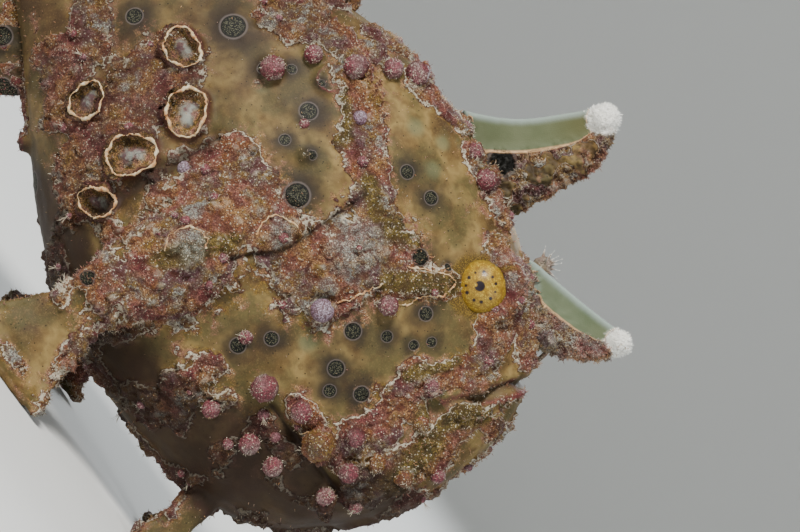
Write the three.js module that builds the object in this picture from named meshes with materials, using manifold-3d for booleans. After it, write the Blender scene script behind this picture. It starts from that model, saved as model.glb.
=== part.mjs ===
// A warty, sponge-coloured frogfish standing on its paired fins, at life size in millimetres.
// +X runs to the snout, +Y to the fish's left side and +Z up. The fish is drawn with the floor at
// z = 0 and its eyes near x = 9, and the last lines move the origin to the middle of its footprint.
import * as THREE from "three";
import { mergeVertices } from "three/addons/utils/BufferGeometryUtils.js";
import Module from "manifold-3d";

const wasm = await Module();
wasm.setup();

// Driving sizes
const GAP = 0.3; // left between neighbouring parts
const SQUARENESS = 2.3; // of the body's cross section, where 2 is an ellipse
const UPPER_TAPER = 0.16; // how much narrower the back is than the belly
const RINGS_PER_STATION = 3;
const BODY_SIDES = 34;
const RIGHT = -1;
const LEFT = 1;

// Outline of the body from the chin to the tail, one row for each station.
const STATIONS = [
  { x: 29.7, top: 47.5, bottom: 41.0, half: 2.2 },
  { x: 29.0, top: 54.0, bottom: 35.5, half: 7.0 },
  { x: 27.2, top: 60.0, bottom: 30.0, half: 10.0 },
  { x: 24.4, top: 64.6, bottom: 24.5, half: 12.0 },
  { x: 20.5, top: 68.4, bottom: 18.5, half: 13.6 },
  { x: 14.0, top: 72.6, bottom: 13.4, half: 15.2 },
  { x: 5.0, top: 76.4, bottom: 10.4, half: 17.4 },
  { x: -6.0, top: 79.0, bottom: 9.0, half: 19.6 },
  { x: -18.0, top: 80.0, bottom: 9.2, half: 21.0 },
  { x: -30.0, top: 78.8, bottom: 11.5, half: 20.2 },
  { x: -42.0, top: 75.2, bottom: 16.0, half: 17.0 },
  { x: -54.0, top: 69.0, bottom: 22.5, half: 12.5 },
  { x: -65.0, top: 60.5, bottom: 29.0, half: 8.2 },
  { x: -75.0, top: 53.2, bottom: 33.8, half: 5.2 },
  { x: -84.0, top: 49.3, bottom: 35.6, half: 3.7 },
];
const TAIL_END = STATIONS[STATIONS.length - 1].x;

// Head
const EYE = { x: 7.4, y: 8.6, z: 67.0, radius: 4.9 };
const TURRET = { base: 7.4, rim: 5.2, height: 3.5 };
const MOUTH_TOP = { x: 23.8, z: 63.8 };
const MOUTH_CORNER = { x: 19.0, z: 51.2 };
const CHIN_END = { x: 29.5, z: 36.3 };
const LIP_RADIUS = 1.25;
const NOSTRIL = { x: 17.1, z: 62.6, radius: 0.75, height: 1.1 };

// Cuts that part the body into head, trunk and tail
const NECK_CUT = { top: { x: -20.5, z: 80 }, bottom: { x: -9, z: 9 } };
const TAIL_CUT = { top: { x: -60, z: 80 }, bottom: { x: -60, z: 9 } };

// Arms, hands and feet, as drawn on the left side
const ARM_PATH = [
  [-20.5, 16.5, 51],
  [-21.2, 18.6, 41],
  [-22.4, 20.6, 31],
  [-24.4, 21.9, 22],
  [-24.8, 22.4, 15.6],
  [-25.0, 23.2, 9.6],
  [-25.3, 25.4, 4.4],
];
const ARM_SIZES = [
  [6.2, 3.2],
  [8.2, 4.6],
  [8.0, 5.2],
  [5.8, 4.4],
  [4.7, 2.6],
  [5.4, 1.9],
  [6.0, 1.0],
];
const WRIST_HEIGHT = 14.4;
const HAND = {
  wrist: [-24.8, 22.6, 15.6],
  heel: [23.4, 0.6],
  reach: [30.5, 0.45],
  rays: 9,
  rows: 6,
  spread: [4.0, 12.5],
  sweep: -1.5,
};
const FOOT_PATH = [
  [9.0, 4.6, 17],
  [9.8, 6.6, 11.5],
  [10.4, 7.6, 7.6],
];
const FOOT_SIZES = [
  [2.6, 2.2],
  [2.8, 2.2],
  [2.4, 1.3],
];
const FOOT = {
  wrist: [10.4, 7.6, 8.2],
  heel: [8.0, 0.5],
  reach: [13.6, 0.45],
  rays: 5,
  rows: 5,
  spread: [2.1, 6.0],
  sweep: 2.5,
};
const WEB_REACH = 0.965; // of the length of the rays that carry it
const PAW_SKIN = { root: 0.85, tip: 0.5, ridge: 0.5 };

// Upright fins
const FIN_SKIN = { root: 0.9, tip: 0.45, ridge: 0.45 };
const DORSAL_FIN = { front: -38, back: -77, rays: 13, sink: 2.5, wave: 1.1 };
const ANAL_FIN = { front: -58, back: -75, rays: 7, sink: 2.0, wave: 0.6 };
const TAIL_FIN = { rays: 9, length: 29, fan: 31, bend: 5 };

// Free spines on the head: the thick front edge, the edge of the web behind it, and the white knob
const SECOND_SPINE = {
  front: [
    [14.5, 66.5],
    [18.6, 68.6],
    [21.7, 69.9],
    [24.6, 71.9],
    [26.8, 74.6],
    [28.6, 77.8],
  ],
  back: [
    [4.2, 74.0],
    [8.5, 76.2],
    [12.7, 77.3],
    [18.6, 78.9],
    [22.6, 80.1],
    [26.0, 81.2],
  ],
  thickness: [3.0, 1.6],
  knob: [27.6, 80.0, 1.95],
};
const THIRD_SPINE = {
  front: [
    [0.4, 73.5],
    [1.2, 78.3],
    [1.8, 83.5],
    [2.3, 88.5],
    [2.6, 93.2],
    [0.2, 98.4],
  ],
  back: [
    [-22.4, 77.0],
    [-17.6, 80.5],
    [-12.1, 85.8],
    [-9.6, 89.4],
    [-7.6, 93.4],
    [-5.3, 98.2],
  ],
  thickness: [3.2, 1.7],
  knob: [-2.9, 98.6, 2.45],
};
const WEB_HALF = 0.5;

// Fishing rod folded back beside the second spine, and the lure on it
const ROD_PATH = [
  [22.6, 1.6, 67.0],
  [22.0, 3.2, 70.6],
  [19.4, 3.9, 73.4],
  [16.0, 3.8, 75.3],
  [12.9, 3.4, 76.4],
];
const ROD_RADIUS = 0.45;
const LURE = { x: 10.6, y: 3.2, z: 77.0, radius: 1.7, threads: 9, threadLength: 2.8 };

// Warts and scabs seen on the right side, at x and z, with their radius
const WARTS = [
  [-25.4, 77.8, 2.1],
  [-28.2, 75.2, 1.8],
  [-31.5, 70.7, 2.1],
  [-36.9, 66.4, 1.6],
  [-14.3, 79.4, 1.5],
  [-10.6, 78.2, 1.5],
  [-5.7, 77.4, 1.9],
  [-3.7, 45.0, 2.0],
  [1.6, 53.5, 1.7],
  [0.9, 30.7, 2.3],
  [7.4, 33.3, 1.8],
  [12.8, 32.3, 2.9],
  [15.1, 37.9, 1.6],
  [19.1, 33.8, 1.7],
  [-1.1, 22.1, 1.6],
  [6.6, 24.1, 1.8],
  [11.5, 25.0, 1.7],
  [20.2, 28.6, 1.6],
  [19.6, 47.2, 1.5],
  [24.8, 40.4, 1.9],
  [27.6, 44.6, 1.3],
  [17.6, 61.5, 1.2],
  [15.7, 51.9, 1.3],
  [-38.6, 60.0, 2.1],
];
const SCABS = [
  [-40.6, 45.3, 3.4],
  [-40.1, 34.6, 3.5],
  [-49.4, 50.4, 3.0],
  [-51.2, 33.6, 2.8],
  [-37.2, 26.0, 2.6],
];
const LOOSE_WARTS = 22;
const LOOSE_SCABS = 7;

const vec = (x, y, z) => new THREE.Vector3(x, y, z);

// A repeatable stream of numbers from 0 to 1.
function seeded(seed) {
  let state = seed;
  return () => {
    state = (state * 1664525 + 1013904223) % 4294967296;
    return state / 4294967296;
  };
}

// Solids

// A closed geometry as a solid that can be joined and cut.
function solidOf(geometry) {
  const bare = geometry.index ? geometry.toNonIndexed() : geometry.clone();
  bare.deleteAttribute("normal");
  bare.deleteAttribute("uv");
  const merged = mergeVertices(bare, 1e-4);
  const vertProperties = merged.attributes.position.array;
  const triVerts = new Uint32Array(merged.index.array);
  const made = new wasm.Manifold(new wasm.Mesh({ numProp: 3, vertProperties, triVerts }));
  if (made.volume() > 0) return made;
  for (let i = 0; i < triVerts.length; i += 3) {
    [triVerts[i + 1], triVerts[i + 2]] = [triVerts[i + 2], triVerts[i + 1]];
  }
  return new wasm.Manifold(new wasm.Mesh({ numProp: 3, vertProperties, triVerts }));
}

// The largest closed surface of a solid, without loose scraps.
function largest(solid) {
  const pieces = solid.decompose();
  return pieces.reduce((best, piece) => (piece.volume() > best.volume() ? piece : best));
}

function joined(solids) {
  return solids.reduce((sum, solid) => sum.add(solid));
}

function geometryOf(solid) {
  const mesh = solid.getMesh();
  const geometry = new THREE.BufferGeometry();
  geometry.setAttribute("position", new THREE.BufferAttribute(new Float32Array(mesh.vertProperties), 3));
  geometry.setIndex(new THREE.BufferAttribute(new Uint32Array(mesh.triVerts), 1));
  geometry.computeVertexNormals();
  return geometry;
}

// A closed skin over a row of rings with equal counts of points, with a fan over each end.
function skinOver(rings) {
  const sides = rings[0].length;
  const middles = [rings[0], rings[rings.length - 1]].map((ring) =>
    ring.reduce((sum, p) => sum.add(p), vec(0, 0, 0)).divideScalar(sides),
  );
  const points = [...rings.flat(), ...middles];
  const [firstMiddle, lastMiddle] = [points.length - 2, points.length - 1];
  const lastRing = (rings.length - 1) * sides;
  const index = [];
  for (let s = 0; s < sides; s++) {
    const next = (s + 1) % sides;
    for (let r = 0; r + 1 < rings.length; r++) {
      const [here, there] = [r * sides, (r + 1) * sides];
      index.push(here + s, here + next, there + s, here + next, there + next, there + s);
    }
    index.push(firstMiddle, next, s, lastMiddle, lastRing + s, lastRing + next);
  }
  const geometry = new THREE.BufferGeometry().setFromPoints(points);
  geometry.setIndex(index);
  return solidOf(geometry);
}

function ball(x, y, z, radius, across = 9, around = 6) {
  return solidOf(new THREE.SphereGeometry(radius, across, around).translate(x, y, z));
}

// A prism along Y over an outline of points in X and Z.
function prismAlongY(outline, halfDepth) {
  const shape = new THREE.Shape(outline.map(([x, z]) => new THREE.Vector2(x, z)));
  const prism = new THREE.ExtrudeGeometry(shape, { depth: 2 * halfDepth, bevelEnabled: false });
  return solidOf(prism.rotateX(Math.PI / 2).translate(0, halfDepth, 0));
}

// Body surface

const outlineCurve = new THREE.CatmullRomCurve3(STATIONS.map((s) => vec(s.x, s.top, s.bottom)));
const widthCurve = new THREE.CatmullRomCurve3(STATIONS.map((s) => vec(s.x, s.half, 0)));

function sectionAt(t) {
  const outline = outlineCurve.getPoint(t);
  return {
    x: outline.x,
    middle: (outline.y + outline.z) / 2,
    height: (outline.y - outline.z) / 2,
    half: widthCurve.getPoint(t).y,
  };
}

function sectionAtX(x) {
  let [low, high] = [0, 1];
  for (let i = 0; i < 30; i++) {
    const t = (low + high) / 2;
    if (sectionAt(t).x > x) low = t;
    else high = t;
  }
  return sectionAt(low);
}

const rounded = (value) => Math.sign(value) * Math.abs(value) ** (2 / SQUARENESS);

function bodyPoint(section, angle, grow = 0) {
  const rise = rounded(Math.sin(angle));
  const out = rounded(Math.cos(angle)) * (1 - UPPER_TAPER * rise);
  return vec(section.x, (section.half + grow) * out, section.middle + (section.height + grow) * rise);
}

// Below 0 inside the body and above 0 outside it.
function bodyField(p) {
  const section = sectionAtX(p.x);
  const rise = (p.z - section.middle) / section.height;
  const out = p.y / (section.half * (1 - UPPER_TAPER * rise));
  return Math.abs(rise) ** SQUARENESS + Math.abs(out) ** SQUARENESS - 1;
}

function bodyNormal(p) {
  const step = 0.05;
  const slope = (axis) => {
    const [ahead, behind] = [p.clone(), p.clone()];
    ahead[axis] += step;
    behind[axis] -= step;
    return bodyField(ahead) - bodyField(behind);
  };
  return vec(slope("x"), slope("y"), slope("z")).normalize();
}

// The place on one side of the body that shows at x and z from that side.
function onFlank(x, z, side) {
  const section = sectionAtX(x);
  const rise = THREE.MathUtils.clamp((z - section.middle) / section.height, -0.985, 0.985);
  const out = (1 - Math.abs(rise) ** SQUARENESS) ** (1 / SQUARENESS) * (1 - UPPER_TAPER * rise);
  const point = vec(x, side * section.half * out, section.middle + section.height * rise);
  return { point, normal: bodyNormal(point) };
}

function bodySolid(grow) {
  const count = (STATIONS.length - 1) * RINGS_PER_STATION;
  const rings = [];
  for (let r = 0; r <= count; r++) {
    const section = sectionAt(r / count);
    if (r === 0) section.x += grow;
    if (r === count) section.x -= grow;
    const ring = [];
    for (let s = 0; s < BODY_SIDES; s++) {
      ring.push(bodyPoint(section, (2 * Math.PI * s) / BODY_SIDES, grow));
    }
    rings.push(ring);
  }
  return skinOver(rings);
}

// Limbs, fins and spines

// A round or flattened limb along a path, with its half width and half thickness at each point.
function limb(path, sizes, side, { sides = 12, steps = 14, outward = vec(0, 1, 0) } = {}) {
  const curve = new THREE.CatmullRomCurve3(path.map(([x, y, z]) => vec(x, side * y, z)));
  const sizeCurve = new THREE.CatmullRomCurve3(sizes.map(([wide, thick]) => vec(wide, thick, 0)));
  const rings = [];
  for (let r = 0; r <= steps; r++) {
    const t = r / steps;
    const along = curve.getTangent(t);
    const thickWay = outward.clone().addScaledVector(along, -outward.dot(along)).normalize();
    const wideWay = along.clone().cross(thickWay);
    const size = sizeCurve.getPoint(t);
    const ring = [];
    for (let s = 0; s < sides; s++) {
      const angle = (2 * Math.PI * s) / sides;
      ring.push(
        curve
          .getPoint(t)
          .addScaledVector(wideWay, size.x * Math.cos(angle))
          .addScaledVector(thickWay, size.y * Math.sin(angle)),
      );
    }
    rings.push(ring);
  }
  return skinOver(rings);
}

// A webbed fin over surface(u, v), where u runs over the rays from 0 to 1 and v from root to tip.
// Each ray is a ridge on both faces, and the web between two rays is cut back at the edge.
function fin(surface, rays, skin, rows = 7) {
  const columns = 2 * rays;
  const place = (u, v) => {
    const step = 0.01;
    const along = surface(u, v + step).sub(surface(u, v - step));
    const across = surface(u + step, v).sub(surface(u - step, v));
    return { point: surface(u, v), normal: along.cross(across).normalize() };
  };
  const points = [];
  for (const face of [1, -1]) {
    for (let c = 0; c <= columns; c++) {
      const isRay = c % 2 === 1;
      for (let r = 0; r <= rows; r++) {
        const v = (r / rows) * (isRay ? 1 : WEB_REACH);
        const { point, normal } = place(c / columns, v);
        const ridge = isRay ? skin.ridge * (1 - 0.5 * v) : 0;
        const half = THREE.MathUtils.lerp(skin.root, skin.tip, v) + ridge;
        points.push(point.addScaledVector(normal, face * half));
      }
    }
  }
  const faceCount = (columns + 1) * (rows + 1);
  const at = (face, c, r) => face * faceCount + c * (rows + 1) + r;
  const index = [];
  const quad = (a, b, c, d) => index.push(a, b, c, a, c, d);
  for (let c = 0; c < columns; c++) {
    for (let r = 0; r < rows; r++) {
      const corners = [at(0, c, r), at(0, c + 1, r), at(0, c + 1, r + 1), at(0, c, r + 1)];
      quad(...corners);
      const [p, q, s, t] = corners.map((corner) => corner + faceCount);
      index.push(p, s, q, p, t, s);
    }
    quad(at(0, c + 1, 0), at(0, c, 0), at(1, c, 0), at(1, c + 1, 0));
    quad(at(0, c, rows), at(0, c + 1, rows), at(1, c + 1, rows), at(1, c, rows));
  }
  for (let r = 0; r < rows; r++) {
    quad(at(0, 0, r), at(0, 0, r + 1), at(1, 0, r + 1), at(1, 0, r));
    quad(at(0, columns, r + 1), at(0, columns, r), at(1, columns, r), at(1, columns, r + 1));
  }
  const geometry = new THREE.BufferGeometry().setFromPoints(points);
  geometry.setIndex(index);
  return solidOf(geometry);
}

// A hand or foot: rays that fan out from the wrist, run down and lie on the floor at their tips.
function paw(shape, side) {
  const [wristX, wristY, wristZ] = shape.wrist;
  const arc = new THREE.QuadraticBezierCurve(
    new THREE.Vector2(wristY, wristZ),
    new THREE.Vector2(...shape.heel),
    new THREE.Vector2(...shape.reach),
  );
  const surface = (u, v) => {
    const across = 2 * u - 1;
    const along = v * (1 - 0.16 * across * across);
    const place = arc.getPoint(along);
    const spread = THREE.MathUtils.lerp(shape.spread[0], shape.spread[1], along);
    return vec(wristX + across * spread + shape.sweep * along, side * place.x, place.y);
  };
  return fin(surface, shape.rays, PAW_SKIN, shape.rows);
}

// A head spine with a fleshy front edge, a thin web behind it and a knob at its tip.
function headSpine({ front, back, thickness, knob }) {
  const [frontEdge, backEdge] = [front, back].map(
    (edge) => new THREE.CatmullRomCurve3(edge.map(([x, z]) => vec(x, 0, z))),
  );
  const chord = [0.07, 0.2, 0.34, 0.48, 0.72, 1];
  const levels = 11;
  const rings = [];
  for (let r = 0; r <= levels; r++) {
    const [lead, trail] = [frontEdge.getPoint(r / levels), backEdge.getPoint(r / levels)];
    const flesh = THREE.MathUtils.lerp(thickness[0], thickness[1], r / levels);
    const side = (sign) =>
      chord.map((c) => {
        const bulge = flesh * Math.sqrt(Math.max(0, 1 - ((c - 0.24) / 0.26) ** 2));
        const point = lead.clone().lerp(trail, c);
        point.y = sign * Math.max(WEB_HALF, bulge);
        return point;
      });
    rings.push([lead, ...side(RIGHT), ...side(LEFT).reverse()]);
  }
  return skinOver(rings).add(ball(knob[0], 0, knob[1], knob[2], 12, 8));
}

// Skin growths

// Turns a piece drawn along +Z so that it stands on a surface.
function stoodOn(geometry, point, normal, lift) {
  const turn = new THREE.Quaternion().setFromUnitVectors(vec(0, 0, 1), normal);
  const place = point.clone().addScaledVector(normal, lift);
  return geometry.applyQuaternion(turn).translate(place.x, place.y, place.z);
}

function wart({ point, normal }, radius) {
  const dome = new THREE.SphereGeometry(radius, 6, 4).rotateX(Math.PI / 2);
  dome.scale(1, 1, 1.1);
  return solidOf(stoodOn(dome, point, normal, 0.05 * radius));
}

// A scab is a low plate with a raised rim round a hollow.
function scab({ point, normal }, radius) {
  const profile = [
    [0, -1.2],
    [0.95 * radius, -1.2],
    [1.06 * radius, 0.5],
    [0.97 * radius, 0.85],
    [0.78 * radius, 0.3],
    [0, 0.25],
  ].map(([r, z]) => new THREE.Vector2(r, z));
  const plate = new THREE.LatheGeometry(profile, 9).rotateX(Math.PI / 2);
  return solidOf(stoodOn(plate, point, normal, 0.1));
}

// Places for growths in each part's own list, clear of eyes, fins, arms, mouth and cuts.
function keepsClear({ point }, radius) {
  const { x, y, z } = point;
  const flank = Math.abs(y);
  const neckX = THREE.MathUtils.mapLinear(z, 9, 80, NECK_CUT.bottom.x, NECK_CUT.top.x);
  const nearEye = Math.hypot(x - EYE.x, z - EYE.z) < TURRET.base + radius;
  const nearMouth = x > 17.5 && z > 47;
  const nearBackline = flank < radius + 3.2 && z > 50;
  const nearArm = x < -11.5 && x > -32.5 && z < 53 && flank > 12;
  const nearFoot = flank < 13 && z < 20 && x > 3 && x < 18;
  const nearBelly = z < 12 || (x < -54 && flank < radius + 3.2);
  const nearCut = [neckX, TAIL_CUT.top.x].some((cut) => Math.abs(x - cut) < radius + 0.8);
  const nearChin = x > 19 && Math.abs(distanceToChinCut(x, z)) < radius + 0.8;
  const nearTailEnd = x < TAIL_END + radius + 2;
  return !(
    nearEye ||
    nearMouth ||
    nearBackline ||
    nearArm ||
    nearFoot ||
    nearBelly ||
    nearCut ||
    nearChin ||
    nearTailEnd
  );
}

function distanceToChinCut(x, z) {
  const slope = (CHIN_END.z - MOUTH_CORNER.z) / (CHIN_END.x - MOUTH_CORNER.x);
  return (z - MOUTH_CORNER.z - slope * (x - MOUTH_CORNER.x)) / Math.hypot(1, slope);
}

function growths() {
  const random = seeded(11);
  const placed = [];
  const put = (kind, place, radius) => {
    const apart = placed.every((other) => other.place.point.distanceTo(place.point) > other.radius + radius + 0.5);
    if (apart && keepsClear(place, radius)) placed.push({ kind, place, radius });
  };
  for (const side of [RIGHT, LEFT]) {
    SCABS.forEach(([x, z, radius]) => put("scab", onFlank(x, z, side), radius));
    WARTS.forEach(([x, z, radius]) => put("wart", onFlank(x, z, side), radius));
  }
  for (let i = 0; i < LOOSE_SCABS + LOOSE_WARTS; i++) {
    const isScab = i < LOOSE_SCABS;
    const section = sectionAt(0.08 + 0.86 * random());
    const point = bodyPoint(section, 2 * Math.PI * random());
    const radius = (isScab ? 2.3 : 1.1) + 0.8 * random();
    put(isScab ? "scab" : "wart", { point, normal: bodyNormal(point) }, radius);
  }
  return placed.map(({ kind, place, radius }) => (kind === "scab" ? scab : wart)(place, radius));
}

// Parts

const wholeBody = bodySolid(0);
const bodyClearance = bodySolid(GAP);
const FAR = 160;

function halfBeyond(cut, shift) {
  const slope = (cut.top.x - cut.bottom.x) / (cut.top.z - cut.bottom.z);
  const xAt = (z) => cut.bottom.x + slope * (z - cut.bottom.z) + shift;
  return prismAlongY(
    [
      [xAt(-FAR), -FAR],
      [xAt(FAR), FAR],
      [-2 * FAR, FAR],
      [-2 * FAR, -FAR],
    ],
    FAR,
  );
}

// The wedge in front of the mouth and above the chin, moved along X.
function jawWedge(shift, mouthShift) {
  const mouthSlope = (MOUTH_TOP.x - MOUTH_CORNER.x) / (MOUTH_TOP.z - MOUTH_CORNER.z);
  const chinSlope = (CHIN_END.x - MOUTH_CORNER.x) / (CHIN_END.z - MOUTH_CORNER.z);
  const top = 76;
  const bottom = 10;
  return prismAlongY(
    [
      [MOUTH_CORNER.x + shift, MOUTH_CORNER.z],
      [MOUTH_CORNER.x + chinSlope * (bottom - MOUTH_CORNER.z) + shift, bottom],
      [FAR, bottom],
      [FAR, top],
      [MOUTH_CORNER.x + mouthSlope * (top - MOUTH_CORNER.z) + mouthShift, top],
    ],
    FAR,
  );
}

// A lip is a roll along the mouth line from corner to corner, set before or behind it.
function lip(forward) {
  const path = [];
  const steps = 9;
  for (let i = -steps; i <= steps; i++) {
    const z = THREE.MathUtils.lerp(MOUTH_TOP.z - 0.9, MOUTH_CORNER.z, (i / steps) ** 2);
    const x = THREE.MathUtils.mapLinear(z, MOUTH_CORNER.z, MOUTH_TOP.z, MOUTH_CORNER.x, MOUTH_TOP.x);
    const place = onFlank(x + forward, z, i < 0 ? RIGHT : LEFT);
    if (i === 0) place.point.y = 0;
    path.push(place.point.toArray());
  }
  const sizes = path.map(() => [LIP_RADIUS, LIP_RADIUS]);
  return limb(path, sizes, LEFT, { sides: 7, steps: 20, outward: vec(1, 0, 0) });
}

function eyeTurret(side) {
  const profile = [
    [0, -4],
    [TURRET.base, -4],
    [TURRET.base * 0.94, 0],
    [TURRET.rim + 0.7, TURRET.height - 0.5],
    [TURRET.rim, TURRET.height],
    [0, TURRET.height],
  ].map(([r, z]) => new THREE.Vector2(r, z));
  const cone = new THREE.LatheGeometry(profile, 16);
  if (side === RIGHT) cone.rotateX(Math.PI);
  return solidOf(cone.translate(EYE.x, side * (EYE.y - 0.6), EYE.z));
}

function nostril(side) {
  const tube = new THREE.LatheGeometry(
    [
      [0, -1],
      [NOSTRIL.radius * 1.3, -1],
      [NOSTRIL.radius, NOSTRIL.height],
      [NOSTRIL.radius * 0.5, NOSTRIL.height],
      [NOSTRIL.radius * 0.4, NOSTRIL.height - 0.6],
      [0, NOSTRIL.height - 0.6],
    ].map(([r, z]) => new THREE.Vector2(r, z)),
    8,
  ).rotateX(Math.PI / 2);
  const { point, normal } = onFlank(NOSTRIL.x, NOSTRIL.z, side);
  return solidOf(stoodOn(tube, point, normal, 0));
}

const SIDES = [
  ["right", RIGHT],
  ["left", LEFT],
];

const eyes = SIDES.map(([, side]) => ball(EYE.x, side * EYE.y, EYE.z, EYE.radius, 15, 10));
const sockets = SIDES.map(([, side]) => ball(EYE.x, side * EYE.y, EYE.z, EYE.radius + GAP, 15, 10));
const ridges = joined([wholeBody, ...growths()]);
const face = joined([
  ridges,
  lip(-LIP_RADIUS * 0.8),
  lip(LIP_RADIUS * 0.8),
  ...SIDES.map(([, side]) => eyeTurret(side)),
  ...SIDES.map(([, side]) => nostril(side)),
]);
const head = largest(
  face
    .subtract(halfBeyond(NECK_CUT, GAP / 2))
    .subtract(jawWedge(-0.2, -0.4))
    .subtract(joined(sockets)),
);
const jaw = largest(face.intersect(jawWedge(0.2, 0.4)));
const trunk = largest(ridges.intersect(halfBeyond(NECK_CUT, -GAP / 2)).subtract(halfBeyond(TAIL_CUT, GAP / 2)));
const tailStalk = largest(ridges.intersect(halfBeyond(TAIL_CUT, -GAP / 2)));

const secondSpine = headSpine(SECOND_SPINE).subtract(bodyClearance);
const thirdSpine = headSpine(THIRD_SPINE).subtract(bodyClearance);

const dorsalSurface = (u, v) => {
  const x = THREE.MathUtils.lerp(DORSAL_FIN.front, DORSAL_FIN.back, u);
  const section = sectionAtX(x);
  const lean = THREE.MathUtils.degToRad(THREE.MathUtils.lerp(38, 66, u));
  const length = DORSAL_FIN.sink + 9 + 8.5 * Math.sin(Math.PI * (0.1 + 0.72 * u));
  return vec(
    x - length * v * Math.sin(lean),
    DORSAL_FIN.wave * v * Math.sin(2.2 * Math.PI * u),
    section.middle + section.height - DORSAL_FIN.sink + length * v * Math.cos(lean),
  );
};
const analSurface = (u, v) => {
  const x = THREE.MathUtils.lerp(ANAL_FIN.front, ANAL_FIN.back, u);
  const section = sectionAtX(x);
  const lean = THREE.MathUtils.degToRad(THREE.MathUtils.lerp(34, 62, u));
  const length = ANAL_FIN.sink + 9 + 5 * Math.sin(Math.PI * (0.15 + 0.7 * u));
  return vec(
    x - length * v * Math.sin(lean),
    ANAL_FIN.wave * v * Math.sin(2 * Math.PI * u),
    section.middle - section.height + ANAL_FIN.sink - length * v * Math.cos(lean),
  );
};
const tailSection = sectionAt(1);
const tailSurface = (u, v) => {
  const across = 2 * u - 1;
  const angle = THREE.MathUtils.degToRad(TAIL_FIN.fan * across);
  const length = TAIL_FIN.length * (1 - 0.1 * across * across);
  return vec(
    TAIL_END + 2 - (length + 2) * v * Math.cos(angle),
    TAIL_FIN.bend * v * v,
    tailSection.middle + across * (tailSection.height - 1) + length * v * Math.sin(angle),
  );
};
const aheadOfTail = prismAlongY(
  [
    [TAIL_END - GAP, -FAR],
    [FAR, -FAR],
    [FAR, FAR],
    [TAIL_END - GAP, FAR],
  ],
  FAR,
);
const dorsalFin = fin(dorsalSurface, DORSAL_FIN.rays, FIN_SKIN).subtract(bodyClearance);
const analFin = fin(analSurface, ANAL_FIN.rays, FIN_SKIN).subtract(bodyClearance);
const tailFin = fin(tailSurface, TAIL_FIN.rays, FIN_SKIN, 8).subtract(aheadOfTail);

function slab(low, high) {
  return prismAlongY(
    [
      [-FAR, low],
      [FAR, low],
      [FAR, high],
      [-FAR, high],
    ],
    FAR,
  );
}

const limbs = SIDES.map(([, side]) => {
  const arm = limb(ARM_PATH, ARM_SIZES, side, { sides: 12, steps: 15 });
  return arm.add(paw(HAND, side)).subtract(bodyClearance);
});
const arms = limbs.map((whole) => largest(whole.subtract(slab(-FAR, WRIST_HEIGHT + GAP / 2))));
const hands = limbs.map((whole) => largest(whole.intersect(slab(0, WRIST_HEIGHT - GAP / 2))));
const feet = SIDES.map(([, side]) => {
  const foot = limb(FOOT_PATH, FOOT_SIZES, side, { sides: 8, steps: 6 }).add(paw(FOOT, side));
  return largest(foot.subtract(bodyClearance).intersect(slab(0, FAR)));
});

const rodSizes = ROD_PATH.map(() => [ROD_RADIUS, ROD_RADIUS]);
const rod = limb(ROD_PATH, rodSizes, LEFT, { sides: 7, steps: 12 });
const rodClearance = limb(
  ROD_PATH,
  ROD_PATH.map(() => [ROD_RADIUS + GAP, ROD_RADIUS + GAP]),
  LEFT,
  { sides: 7, steps: 12 },
);
const illicium = largest(rod.subtract(bodyClearance).subtract(ball(LURE.x, LURE.y, LURE.z, LURE.radius + GAP)));

// The lure is a small bulb with tapered threads all over its upper side.
function lure() {
  const pieces = [ball(LURE.x, LURE.y, LURE.z, LURE.radius)];
  for (let i = 0; i < LURE.threads; i++) {
    const around = (2 * Math.PI * i * 0.618) % (2 * Math.PI);
    const tilt = 0.25 + (1.15 * i) / LURE.threads;
    const way = vec(Math.sin(tilt) * Math.cos(around), Math.sin(tilt) * Math.sin(around), Math.cos(tilt));
    const thread = new THREE.ConeGeometry(0.5, LURE.threadLength, 5).rotateX(Math.PI / 2);
    pieces.push(solidOf(stoodOn(thread, vec(LURE.x, LURE.y, LURE.z), way, LURE.radius + 0.8)));
  }
  return largest(joined(pieces).subtract(rodClearance));
}

// The assembled fish

const SKIN = { color: 0xa7825c, roughness: 0.75, metalness: 0 };
const CRUST = { color: 0xa8685a, roughness: 0.85, metalness: 0 };
const WEB = { color: 0x8f9a7c, roughness: 0.6, metalness: 0 };
const IRIS = { color: 0xc79a2e, roughness: 0.2, metalness: 0 };

const fish = new THREE.Group();

function show(name, solid, look) {
  const mesh = new THREE.Mesh(geometryOf(solid), new THREE.MeshStandardMaterial(look));
  mesh.name = name;
  fish.add(mesh);
}

show("head", head, SKIN);
show("lower_jaw", jaw, SKIN);
show("trunk", trunk, SKIN);
show("tail_stalk", tailStalk, SKIN);
show("second_dorsal_spine", secondSpine, CRUST);
show("third_dorsal_spine", thirdSpine, CRUST);
show("illicium", illicium, CRUST);
show("esca", lure(), CRUST);
show("dorsal_fin", dorsalFin, CRUST);
show("anal_fin", analFin, CRUST);
show("tail_fin", tailFin, WEB);
SIDES.forEach(([name], i) => {
  show(`eye_${name}`, eyes[i], IRIS);
  show(`pectoral_arm_${name}`, arms[i], CRUST);
  show(`pectoral_hand_${name}`, hands[i], WEB);
  show(`pelvic_foot_${name}`, feet[i], WEB);
});

const box = new THREE.Box3().setFromObject(fish);
fish.position.set(-(box.min.x + box.max.x) / 2, -(box.min.y + box.max.y) / 2, -box.min.z);

export default fish;
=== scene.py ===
# %% [markdown]
# # A warty frogfish, as a life-size museum model
#
# The solids from the CAD step give the fish's true form: a deep rounded body, a steep mouth, two free
# spines on the head, and fins that it stands on like hands and feet. This notebook grows the living
# surface over them: one skin made from copies of the solids, with crusts, scabs, warts, ringed spots,
# small thorns and threads on it.

# %% Load the frame
import math
import random

import bmesh
import bpy
import numpy as np
from mathutils import Matrix, Vector, noise
from mathutils.bvhtree import BVHTree


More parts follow.
